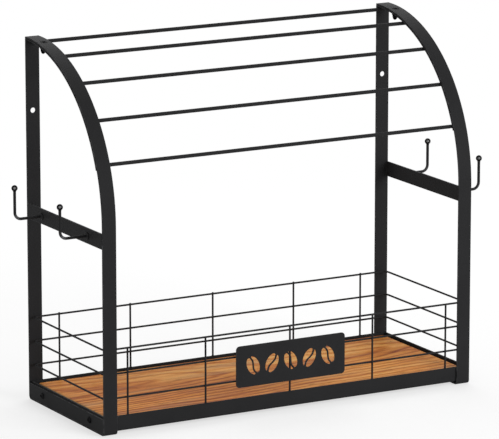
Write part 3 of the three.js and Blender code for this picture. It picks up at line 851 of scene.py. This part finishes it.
def drill(piece, base, way, profile):
    """Cuts a hole with a turned cutter."""
    carve(piece, turned("cutter", base, way, profile, HOLE_SIDES))


flared = WALL_HOLE_RADIUS + DEBURR + CUT_PAST
wall_hole = [
    (-CUT_PAST, flared),
    (DEBURR, WALL_HOLE_RADIUS),
    (STRIP_THICK - DEBURR, WALL_HOLE_RADIUS),
    (STRIP_THICK + CUT_PAST, flared),
]
print("wall holes", round(2 * WALL_HOLE_RADIUS / MM, 1), "mm wide")

# %% Drill the posts and countersink the arches
RACK_BOLT_FROM_BACK = 28 * MM
BOLT_HEAD_RADIUS = 3.3 * MM
BOLT_SHANK_RADIUS = 2 * MM
BOLT_HEAD_DEPTH = 1.2 * MM
BOLT_CLEARANCE = 0.3 * MM

bolt_angle = acos((ARCH_CENTRE[0] - (BACK_Y - RACK_BOLT_FROM_BACK)) / ARCH_RADIUS)
bolt_way = Vector((0, -cos(bolt_angle), sin(bolt_angle)))


def rack_bolt_place(side):
    """Where the bolt's line meets the outer face of the arch."""
    centre = Vector((SIDES[side] * STRIP_MIDDLE_X, *ARCH_CENTRE))
    return centre + bolt_way * ARCH_RADIUS


shank_hole = BOLT_SHANK_RADIUS + BOLT_CLEARANCE
head_hole = BOLT_HEAD_RADIUS + BOLT_CLEARANCE
countersink = [
    (-STRIP_THICK - CUT_PAST, shank_hole),
    (-BOLT_HEAD_DEPTH - BOLT_CLEARANCE, shank_hole),
    (-BOLT_CLEARANCE, head_hole),
    (CUT_PAST, head_hole + CUT_PAST / 2),
]
for side, sign in SIDES.items():
    wall_hole_place = Vector((sign * STRIP_MIDDLE_X, POST_INNER_Y, FRAME_TOP - WALL_HOLE_DROP))
    drill(posts[side], wall_hole_place, BACKWARDS, wall_hole)
    drill(arches[side], rack_bolt_place(side), bolt_way, countersink)
    dress(posts[side], f"rear_post_{side}")
    dress(arches[side], f"front_arch_{side}")

# %% [markdown]
# ## Flat bars
# A bar on edge ties each arch to its rear post at hook height, and another runs along the floor.
# They are sawn from 16 by 2 mm flat stock, so each is an outline seen from the side with softened
# corners, and the lower one loses its two bottom corners to clear the bends of the feet.

# %% Hook bars and floor bars
BAR_EDGE = 0.45 * MM
BAR_CORNER = 0.6 * MM
FOOT_CLEARANCE = 0.3 * MM


def flat_bar(name, node, clipped=0.0):
    """A bar on edge, with its two lower corners cut off by a length."""
    low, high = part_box(node)
    outline = [(low.y, high.z), (low.y, low.z + clipped)]
    if clipped:
        outline += [(low.y + clipped, low.z), (high.y - clipped, low.z)]
    outline += [(high.y, low.z + clipped), (high.y, high.z)]
    dress(strip(name, node, soften(outline, BAR_CORNER), BAR_EDGE), node)


for side in SIDES:
    flat_bar(f"{side}_mug_bar", f"mug_bar_{side}")
    flat_bar(f"{side}_floor_bar", f"side_bar_{side}", FOOT_RADIUS - STRIP_THICK + FOOT_CLEARANCE)

# %% [markdown]
# ## Hooks
# A hook is 3 mm wire, bent up through a quarter turn, with a pressed collar at its root and a
# dipped ball on its tip. Because every bend lies in one plane, a row of circles along the wire is
# enough, and the same row swells into the collar, so the wire is one clean skin. The ball is a
# turned drop of its own, because it has another finish.

# %% Hook wire
HOOK_WIRE = 1.5 * MM
HOOK_REACH = 30 * MM
HOOK_RISE = 32.5 * MM
HOOK_BEND = 7 * MM
COLLAR_RADIUS = 4 * MM
COLLAR_THICK = 1.2 * MM
COLLAR_EDGE = 0.35 * MM
COLLAR_FILLET = 0.9 * MM
BEND_STEPS = 10
BEND_FROM = HOOK_REACH - HOOK_BEND
BEND_LENGTH = HOOK_BEND * QUARTER
BALL_AT = BEND_FROM + BEND_LENGTH + HOOK_RISE - HOOK_BEND
UP = Vector((0, 0, 1))


def hook_profile():
    """Length along the wire, radius, and edge number for wear and painted highlight, from the bar face to
    the middle of the ball.
    """
    collar = rounded_end(COLLAR_RADIUS, COLLAR_EDGE)
    profile = collar + far_end(collar, COLLAR_THICK)
    for inward, along, _ in rounding(COLLAR_FILLET, COLLAR_FILLET):
        profile.append((COLLAR_THICK + along, HOOK_WIRE + inward))
    for k in range(BEND_STEPS + 1):
        share = k / BEND_STEPS
        profile.append((BEND_FROM + BEND_LENGTH * share, HOOK_WIRE, sin(pi * share)))
    return profile + [(BALL_AT, HOOK_WIRE)]


def hook_station(root, outward, length, radius, edge_wear_and_highlight=0.0):
    """The place and direction of the wire after a length from the bar face."""
    turn = min(max((length - BEND_FROM) / HOOK_BEND, 0), QUARTER)
    way = outward * cos(turn) + UP * sin(turn)
    bent = outward * sin(turn) + UP * (1 - cos(turn))
    run = min(length, BEND_FROM)
    rise = max(length - BEND_FROM - BEND_LENGTH, 0)
    return Station(root + outward * run + bent * HOOK_BEND + UP * rise, way, radius, edge_wear_and_highlight)


print("hook wire", round(BALL_AT / MM, 1), "mm long")

# %% Hooks and their balls
HOOK_BALL = 3.2 * MM
NECK_FILM = 0.2 * MM
NECK_LIP = NECK_FILM / 4
NECK_LENGTH = 0.9 * MM
WIRE_SIDES = 24
BALL_STEPS = 16


def ball_profile():
    """Heights from the middle of the ball and radii, with a short neck where enamel runs down."""
    turns = sweep(pi, BALL_STEPS)[1:-1]
    ball = [(-HOOK_BALL * cos(t), HOOK_BALL * sin(t)) for t in turns]
    ball = [step for step in ball if step[0] > 0 or step[1] > HOOK_WIRE + NECK_FILM]
    neck_at = ball[0][0] - NECK_LENGTH
    return [(neck_at, HOOK_WIRE + NECK_LIP)] + ball + [(HOOK_BALL, 0)]


for side, sign in SIDES.items():
    outward = Vector((sign, 0, 0))
    for end in ENDS:
        node = f"hook_{side}_{end}"
        bar_node = f"mug_bar_{side}"
        root = Vector((corner_of(bar_node, sign).x, middle_of(node).y, middle_of(bar_node).z))
        stations = [hook_station(root, outward, *step) for step in hook_profile()]
        hook = bar(f"{side}_{end}_hook", stations, BACKWARDS, WIRE_SIDES)
        dress(hook, node)
        tip = root + outward * HOOK_REACH + UP * HOOK_RISE
        ball = turned(f"{side}_{end}_hook_ball", tip, UP, ball_profile(), WIRE_SIDES)
        dress(ball, node, material=enamel_material)

# %% [markdown]
# ## The curved rack
# Two thin ribs follow the arches just underneath, and five round rails run between them. What sits
# in the rack hangs by its rim between two rails, so the rails have to stay straight and evenly
# spaced. Ribs are plates like the arches, and rails are plain rods with softened ends.

# %% Ribs and rails
RIB_END = 0.45 * MM
RIB_TAIL = 5 * MM
WELD_GAP = 0.3 * MM
ROD_SIDES = 32
ROD_END = 0.5 * MM
RAIL_COUNT = 5

rails = {number: f"pod_rail_{number}" for number in range(1, RAIL_COUNT + 1)}
rail_low, rail_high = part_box(rails[1])
RAIL_DIAMETER = rail_high.z - rail_low.z
first_rail = middle_of(rails[1])
first_drop = Vector((ARCH_CENTRE[0] - first_rail.y, first_rail.z - ARCH_CENTRE[1]))
RAIL_RADIUS = first_drop.length
RIB_OUTER = ARCH_RADIUS - STRIP_THICK - WELD_GAP
RIB_INNER = RAIL_RADIUS + RAIL_DIAMETER / 2 + WELD_GAP
rib_tail = pi - atan2(first_drop.y, first_drop.x) + RIB_TAIL / RAIL_RADIUS

rib_outline = arc(ARCH_CENTRE, RIB_OUTER, QUARTER, rib_tail)
rib_outline += arc(ARCH_CENTRE, RIB_INNER, rib_tail, QUARTER)
for side in SIDES:
    node = f"rack_rib_{side}"
    dress(strip(f"{side}_rib", node, soften(rib_outline, RIB_END), STRIP_EDGE), node)

for number, node in rails.items():
    start, end = middle_line(node, "x")
    dress(rod(f"rack_rail_{number}", start, end, RAIL_DIAMETER / 2, ROD_END, ROD_SIDES), node)

# %% [markdown]
# ## Rack bolts and cap nuts
# One bolt a side pins the rack to its arch. Its countersunk head lies flush so that nothing
# catches, and a cap nut hides the thread below. A turned profile gives each body, and booleans
# with six-sided bars cut the key socket and leave the chamfered hexagon of the nut. Each cutter is
# turned by half a side, because a boolean leaves slivers where edges lie exactly on edges.

# %% Hexagons
HEX_SIDES = 6
HEX_FLAT = cos(pi / HEX_SIDES)
HALF_SIDE = pi / TURNED_SIDES
NUT_RADIUS = 3.8 * MM
NUT_CHAMFER = 0.5 * MM
NUT_FACE_SHARE = 0.96
NUT_BLANK_SHARE = 1.02
NUT_WEAR = 0.6


def hex_bar(base, way, length, radius):
    """A six-sided bar, for sockets and nuts."""
    return turned("hex_bar", base, way, [(0, radius), (length, radius)], HEX_SIDES, HALF_SIDE)


def hex_nut(name, base, way, thick):
    """A hexagon with both ends chamfered, as nuts are turned from bar."""
    face = NUT_RADIUS * HEX_FLAT * NUT_FACE_SHARE
    near = [(0, face, NUT_WEAR), (NUT_CHAMFER, NUT_RADIUS * NUT_BLANK_SHARE, NUT_WEAR)]
    nut = turned(name, base, way, near + far_end(near, thick))
    carve(nut, hex_bar(base - way * CUT_PAST, way, thick + 2 * CUT_PAST, NUT_RADIUS), "INTERSECT")
    return nut


print("hexagon tools ready")

# %% Rack bolts and cap nuts
SOCKET_DEPTH = 1.1 * MM
SOCKET_RADIUS = 1.7 * MM
HEAD_ARRIS = 0.12 * MM
BOLT_BITE = 4.5 * MM
NUT_HEX = 3.6 * MM
NUT_TOP = RIB_INNER - ARCH_RADIUS - WELD_GAP
DOME_RADIUS = 3 * MM
DOME_HEIGHT = 5.4 * MM
DOME_SINK = 0.3 * MM
DOME_STEPS = 10


def bolt_tip(tip):
    """The thread end of a bolt, its arris taken off."""
    return [(tip, BOLT_SHANK_RADIUS - HEAD_ARRIS), (tip + HEAD_ARRIS, BOLT_SHANK_RADIUS)]


def rack_bolt(side):
    profile = bolt_tip(NUT_TOP - BOLT_BITE) + [
        (-BOLT_HEAD_DEPTH, BOLT_SHANK_RADIUS),
        (-HEAD_ARRIS, BOLT_HEAD_RADIUS),
        (0, BOLT_HEAD_RADIUS - HEAD_ARRIS),
    ]
    bolt = turned(f"{side}_rack_bolt", rack_bolt_place(side), bolt_way, profile)
    socket = rack_bolt_place(side) - bolt_way * SOCKET_DEPTH
    carve(bolt, hex_bar(socket, bolt_way, SOCKET_DEPTH + CUT_PAST, SOCKET_RADIUS))
    return bolt


def cap_nut(side):
    base = rack_bolt_place(side) + bolt_way * NUT_TOP - bolt_way * NUT_HEX
    nut = hex_nut(f"{side}_cap_nut", base, bolt_way, NUT_HEX)
    rise = DOME_HEIGHT + DOME_SINK
    turns = sweep(QUARTER, DOME_STEPS)
    dome = [(DOME_SINK - rise * cos(t), DOME_RADIUS * sin(t)) for t in turns]
    dome += [(NUT_HEX / 2, DOME_RADIUS)]
    carve(nut, turned("dome", base, bolt_way, dome, turn=HALF_SIDE), "UNION")
    return nut


for side in SIDES:
    dress(rack_bolt(side), f"rack_bolt_{side}", finish="fastener")
    dress(cap_nut(side), f"rack_nut_{side}", finish="fastener")

# %% [markdown]
# ## Tray rails
# The tray is a low steel rim. Its front and rear are angles, folded so that a flange runs under
# the board, and its ends are flat. A fold has a round outside corner, so the angle's outline gets
# a real bend radius there, and only its free edges are sharp.

# %% Tray rails
FOLD_RADIUS = 2.2 * MM
TRAY_THICK = 1.6 * MM
TRAY_FLANGE = 12 * MM
EDGE_SOFT = 0.42 * MM


def angle_outline(outer_y, low_z, high_z, sign):
    """The angle in section, drawn for the rear and mirrored for the front."""
    fold = (outer_y - FOLD_RADIUS, low_z + FOLD_RADIUS)
    flange_y = outer_y - TRAY_FLANGE
    outline = arc(fold, FOLD_RADIUS, -QUARTER, 0, FOOT_STEP)
    outline += [(outer_y, high_z), (outer_y - TRAY_THICK, high_z)]
    outline += arc(fold, FOLD_RADIUS - TRAY_THICK, 0, -QUARTER, FOOT_STEP)
    outline += [(flange_y, low_z + TRAY_THICK), (flange_y, low_z)]
    outline = soften(outline, EDGE_SOFT)
    if sign > 0:
        return outline
    return [Vector((-y, z)) for y, z in reversed(outline)]


for end, sign in ENDS.items():
    node = f"tray_rail_{end}"
    low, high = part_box(node)
    outline = angle_outline(abs(corner_of(node, sign).y), low.z, high.z, sign)
    dress(strip(f"{end}_tray_rail", node, outline, STRIP_EDGE), node)

for side in SIDES:
    flat_bar(f"{side}_tray_rail", f"tray_rail_{side}")

# %% [markdown]
# ## The board
# The shelf is one solid board with its arrises taken off, and a pale line runs along its edges:
# bared wood, and a painted highlight where the eased edge catches the light. It is a plate laid
# flat, and the edge number on its rounded edge is what the wood finish turns into that line.

# %% Board
BOARD_ARRIS = 1.0 * MM
BOARD_CORNER = 2.0 * MM


def rectangle(low, high):
    return [Vector(p) for p in ((low[0], low[1]), (high[0], low[1]), (high[0], high[1]), (low[0], high[1]))]


low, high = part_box("shelf_board")
board_outline = soften(rectangle(low, high), BOARD_CORNER)
board = plate("wood_board", [board_outline], low.z, high.z, BOARD_ARRIS, along_z)
dress(board, "shelf_board", finish="wood")

# %% [markdown]
# ## Tray bolts, nuts and board screws
# Four button-head bolts join the tray to the floor bars, each with a nut inside, and four short
# screws come up through the flanges into the board. Button heads are half an ellipse, turned, with
# a hexagon socket. The screws have a cross for the driver, cut by two crossed slots.

# %% Tray bolts and nuts
BUTTON_RADIUS = 3.5 * MM
BUTTON_HEIGHT = 1.8 * MM
BUTTON_FLAT = 1.7 * MM
BUTTON_SOCKET = 1.25 * MM
BUTTON_SOCKET_DEPTH = 1.0 * MM
HEAD_WEAR = 0.2
TRAY_NUT_THICK = 2.4 * MM
BOLT_TIP = 0.6 * MM


def tray_bolt(name, base, way, length):
    """A button-head bolt whose head sits on base and whose shank runs back from it."""
    profile = bolt_tip(-length) + [(0, BOLT_SHANK_RADIUS)]
    top = acos(BUTTON_FLAT / BUTTON_RADIUS)
    for t in sweep(top, DOME_STEPS):
        height = BUTTON_HEIGHT * sin(t) / sin(top)
        profile.append((height, BUTTON_RADIUS * cos(t), HEAD_WEAR))
    bolt = turned(name, base, way, profile)
    socket = base + way * (BUTTON_HEIGHT - BUTTON_SOCKET_DEPTH)
    carve(bolt, hex_bar(socket, way, BUTTON_SOCKET_DEPTH + CUT_PAST, BUTTON_SOCKET))
    return bolt


def tray_nut(name, seat, way):
    """A nut that sits on seat, bored for its bolt."""
    nut = hex_nut(name, seat, way, TRAY_NUT_THICK)
    bore_from = seat - way * CUT_PAST
    bore_to = seat + way * (TRAY_NUT_THICK + CUT_PAST)
    bore_radius = BOLT_SHANK_RADIUS + HEAD_ARRIS
    carve(nut, rod("bore", bore_from, bore_to, bore_radius, HEAD_ARRIS, TURNED_SIDES, HALF_SIDE))
    return nut


for side, sign in SIDES.items():
    way = Vector((sign, 0, 0))
    outer_x = corner_of(f"side_bar_{side}", sign).x
    inner_x = corner_of(f"tray_rail_{side}", -sign).x
    length = abs(outer_x - inner_x) + TRAY_NUT_THICK + BOLT_TIP
    for end in ENDS:
        middle = middle_of(f"tray_nut_{side}_{end}")
        bolt = tray_bolt(f"{side}_{end}_tray_bolt", at(middle, x=outer_x), way, length)
        dress(bolt, f"tray_bolt_{side}_{end}", finish="fastener")
        seat = at(middle, x=inner_x) - way * TRAY_NUT_THICK
        dress(tray_nut(f"{side}_{end}_tray_nut", seat, way), f"tray_nut_{side}_{end}", finish="fastener")

# %% Board screws
SCREW_HEAD_RADIUS = 3 * MM
SCREW_HEAD_THICK = 1.2 * MM
SCREW_CROWN = 0.45 * SCREW_HEAD_RADIUS
SCREW_DOME = 0.6 * SCREW_HEAD_THICK
SCREW_SHANK_RADIUS = 1.5 * MM
SCREW_POINT = 3 * MM
SLOT_LENGTH = 3.2 * MM
SLOT_WIDTH = 0.7 * MM
SLOT_DEPTH = 0.7 * MM


def board_screw(name, node):
    base, tip = middle_line(node, "z")
    length = tip.z - base.z
    crown = rounding(SCREW_CROWN, SCREW_DOME)
    profile = [(along, SCREW_HEAD_RADIUS - inward, HEAD_WEAR) for inward, along, _ in crown]
    profile += [(SCREW_HEAD_THICK, SCREW_HEAD_RADIUS), (SCREW_HEAD_THICK, SCREW_SHANK_RADIUS)]
    profile += [(length - SCREW_POINT, SCREW_SHANK_RADIUS), (length, 0)]
    screw = turned(name, base, UP, profile)
    for size in ((SLOT_LENGTH, SLOT_WIDTH), (SLOT_WIDTH, SLOT_LENGTH)):
        half = Vector(size) / 2
        slot = rectangle(base.xy - half, base.xy + half)
        carve(screw, plate("slot", [slot], base.z - CUT_PAST, base.z + SLOT_DEPTH, HEAD_ARRIS, along_z))
    dress(screw, node, finish="fastener")


for side in SIDES:
    for end in ENDS:
        board_screw(f"{side}_{end}_board_screw", f"board_screw_{side}_{end}")

# %% [markdown]
# ## The wire fence
# Three closed rings of 2 mm wire stand on ten upright stays. The rings pass inside the stays, as
# cross-wire welders lay them. A ring is a bar whose row of circles closes on itself, with true
# round corners, and a stay is a rod.

# %% Fence rings and stays
FENCE_WIRE = 1 * MM
RING_CORNER = 6 * MM
RING_STEPS = 8
FENCE_SIDES = 20
STAY_END = 0.35 * MM
STAY_COUNT = 5
RINGS = ["low", "mid", "top"]


def ring_stations(node):
    """Round the rectangle of a ring's middle line, corner by corner."""
    outer = corner_of(node, 1)
    level = middle_of(node).z
    reach = Vector((outer.x - FENCE_WIRE - RING_CORNER, outer.y - FENCE_WIRE - RING_CORNER))
    stations = []
    for corner, (sign_x, sign_y) in enumerate(((1, 1), (-1, 1), (-1, -1), (1, -1))):
        for step in range(RING_STEPS + 1):
            turn = (corner + step / RING_STEPS) * QUARTER
            spot = Vector((sign_x * reach.x, sign_y * reach.y, level))
            spot += Vector((cos(turn), sin(turn), 0)) * RING_CORNER
            stations.append(Station(spot, Vector((-sin(turn), cos(turn), 0)), FENCE_WIRE))
    return stations


for ring in RINGS:
    node = f"fence_ring_{ring}"
    wire = bar(f"{ring}_fence_ring", ring_stations(node), UP, FENCE_SIDES, closed=True)
    dress(wire, node)

stay_feet = []
for end in ENDS:
    for number in range(1, STAY_COUNT + 1):
        node = f"fence_stay_{end}_{number}"
        foot, top = middle_line(node, "z")
        stay_feet.append(foot)
        stay = rod(f"{end}_fence_stay_{number}", foot, top, FENCE_WIRE, STAY_END, FENCE_SIDES)
        dress(stay, node)

# %% [markdown]
# ## The sign plate
# A thin plate with rounded corners is fixed to the front of the fence. A row of bean shapes is cut
# through it, each in two halves with a wavy bridge of metal between, as a laser cutter has to leave
# one. Holes are outlines that run the other way round, so the plate builder rounds their edges too.

# %% Sign plate
SIGN_CORNER = 4 * MM
SIGN_EDGE = 0.22 * MM
BEAN_COUNT = 5
BEAN_PITCH = 22 * MM
BEAN_LENGTH = 21 * MM
BEAN_WIDTH = 14 * MM
BEAN_TILT = radians(28)
BEAN_BRIDGE = 1.8 * MM
BEAN_CREASE = 1.5 * MM
BEAN_STEPS = 28
BEAN_CORNER = 0.8 * MM


def bean_half(centre, tilt):
    """One half of a bean: out along its rim and back along its crease."""
    half = BEAN_LENGTH / 2
    reach = half - BEAN_BRIDGE / 2
    heights = [reach * (1 - 2 * k / BEAN_STEPS) for k in range(BEAN_STEPS + 1)]
    rim = [Vector((-BEAN_WIDTH / 2 * sqrt(1 - (v / half) ** 2), v)) for v in heights]
    crease = [Vector((BEAN_CREASE * sin(pi * v / half) - BEAN_BRIDGE / 2, v)) for v in heights]
    tilted = Matrix.Rotation(tilt, 2)
    outline = [tilted @ point + centre for point in rim + crease[::-1]]
    return soften(outline[::-1], BEAN_CORNER)


low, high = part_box("sign_plate")
sign_outlines = [soften(rectangle(low.xz, high.xz), SIGN_CORNER)]
for bean in range(BEAN_COUNT):
    centre = middle_of("sign_plate").xz + Vector(((bean - (BEAN_COUNT - 1) / 2) * BEAN_PITCH, 0))
    tilt = BEAN_TILT if bean % 2 == 0 else -BEAN_TILT
    sign_outlines += [bean_half(centre, tilt), bean_half(centre, tilt + pi)]
dress(plate("sign", sign_outlines, low.y, high.y, SIGN_EDGE, along_y), "sign_plate")

# %% [markdown]
# ## Welds
# Welds are what make the frame one thing, and they show up close: rippled beads in the corners of
# strips and bars, and small nuggets where two wires were pressed together and fused. Each is a
# short bar whose radius swells, ripples and tapers, half sunk into the metal on both sides.

# %% Weld beads and nuggets
BEAD_RIPPLE = 1.3 * MM
FEWEST_RIPPLES = 2
RIPPLE_DEPTH = 0.12
BEAD_SIDES = 14
BEAD_STEPS_PER_RIPPLE = 6
NUGGET_STEPS = 8


def add_bead(bm, start, end, radius):
    """A rippled bead along a line, tapered at both ends."""
    length = (end - start).length
    ripples = max(FEWEST_RIPPLES, round(length / BEAD_RIPPLE))
    steps = ripples * BEAD_STEPS_PER_RIPPLE
    profile = [(0, 0)]
    for k in range(1, steps):
        share = k / steps
        taper = min(1.0, sqrt(min(share, 1 - share) * length / radius))
        ripple = 1 - RIPPLE_DEPTH * abs(cos(pi * share * ripples))
        profile.append((share * length, radius * taper * ripple))
    add_turned(bm, start, (end - start).normalized(), profile + [(length, 0)], BEAD_SIDES)


def add_nugget(bm, start, end, radius):
    """A barrel between two wires."""
    length = (end - start).length
    turns = sweep(pi, NUGGET_STEPS)[1:-1]
    profile = [(length * (1 - cos(t)) / 2, radius * sin(t)) for t in turns]
    add_turned(bm, start, (end - start).normalized(), [(0, 0)] + profile + [(length, 0)], BEAD_SIDES)


print("weld tools ready")

# %% Weld the rack and the bars
RAIL_BEAD = 0.75 * MM
RAIL_BEAD_ASIDE = 1.55 * MM
RAIL_BEAD_DEPTH = 1.5 * MM
RAIL_BEAD_MARGIN = 0.8 * MM
BAR_BEAD = 1.1 * MM
BAR_BEAD_MARGIN = 1.0 * MM
SEAM_BEAD = 0.9 * MM
SEAM_SINK = 0.25 * MM

for side, sign in SIDES.items():
    strip_low, strip_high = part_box(f"front_arch_{side}")
    bead_from = corner_of(f"front_arch_{side}", -sign).x + sign * RAIL_BEAD_MARGIN
    bm = new_metal()
    for node in rails.values():
        middle = middle_of(node)
        bead_to = corner_of(node, sign).x - sign * RAIL_BEAD_MARGIN / 2
        away = Vector((0, middle.y - ARCH_CENTRE[0], middle.z - ARCH_CENTRE[1])).normalized()
        along = Vector((0, -away.z, away.y))
        for step in (-1, 1):
            spot = middle + away * RAIL_BEAD_DEPTH + along * (step * RAIL_BEAD_ASIDE)
            add_bead(bm, at(spot, x=bead_from), at(spot, x=bead_to), RAIL_BEAD)
    dress(solid(bm, f"{side}_rail_welds"))

    bar_low, bar_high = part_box(f"mug_bar_{side}")
    corner_x = corner_of(f"mug_bar_{side}", -sign).x
    bm = new_metal()
    for corner_y in (bar_low.y, bar_high.y):
        low_spot = Vector((corner_x, corner_y, bar_low.z + BAR_BEAD_MARGIN))
        high_spot = Vector((corner_x, corner_y, bar_high.z - BAR_BEAD_MARGIN))
        add_bead(bm, low_spot, high_spot, BAR_BEAD)
    seam_z = STRIP_THICK - SEAM_SINK
    seam_from = Vector((strip_low.x + BAR_BEAD_MARGIN, SEAM_Y, seam_z))
    seam_to = Vector((strip_high.x - BAR_BEAD_MARGIN, SEAM_Y, seam_z))
    add_bead(bm, seam_from, seam_to, SEAM_BEAD)
    dress(solid(bm, f"{side}_frame_welds"))

# %% Weld the tray and the fence
TRAY_BEAD = 1.0 * MM
STAY_NUGGET = 1.05 * MM
STAY_NUGGET_SINK = 0.45 * MM
FOOT_WELD_HEIGHT = 1.6 * MM
FOOT_WELD_SPREAD = 0.5 * MM
FOOT_WELD_SINK = 0.4 * MM

bm = new_metal()
for end, end_sign in ENDS.items():
    rail_low, rail_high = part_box(f"tray_rail_{end}")
    corner_y = corner_of(f"tray_rail_{end}", end_sign).y - end_sign * TRAY_THICK
    for corner_x in (rail_low.x, rail_high.x):
        start = Vector((corner_x, corner_y, rail_low.z + TRAY_THICK + TRAY_BEAD))
        add_bead(bm, start, Vector((corner_x, corner_y, rail_high.z - TRAY_BEAD / 2)), TRAY_BEAD)
dress(solid(bm, "tray_corner_welds"))

foot_weld = [(-FOOT_WELD_SINK, FENCE_WIRE)]
for inward, along, _ in rounding(FOOT_WELD_SPREAD, FOOT_WELD_HEIGHT):
    foot_weld.append((along, FENCE_WIRE + inward))

bm = new_metal()
for foot in stay_feet:
    inward = -copysign(1, foot.y)
    for ring in RINGS:
        level = middle_of(f"fence_ring_{ring}").z
        ring_y = copysign(corner_of(f"fence_ring_{ring}", 1).y, foot.y)
        start = Vector((foot.x, foot.y + inward * (FENCE_WIRE - STAY_NUGGET_SINK), level))
        add_nugget(bm, start, Vector((foot.x, ring_y + inward * STAY_NUGGET_SINK, level)), STAY_NUGGET)
    add_turned(bm, foot, UP, foot_weld, FENCE_SIDES)
dress(solid(bm, "fence_welds"))

# %% Weld the sign
SIGN_SPOT = 0.9 * MM
SIGN_SPOT_SINK = 0.45 * MM
SIGN_SPOT_SHARES = (0.2, 0.8)

sign_low, sign_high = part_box("sign_plate")
stay_front_y = corner_of("fence_stay_front_3", -1).y
bm = new_metal()
for share in SIGN_SPOT_SHARES:
    level = sign_low.z + share * (sign_high.z - sign_low.z)
    start = Vector((0, sign_high.y - SIGN_SPOT_SINK, level))
    add_nugget(bm, start, Vector((0, stay_front_y + SIGN_SPOT_SINK, level)), SIGN_SPOT)
dress(solid(bm, "sign_welds"))
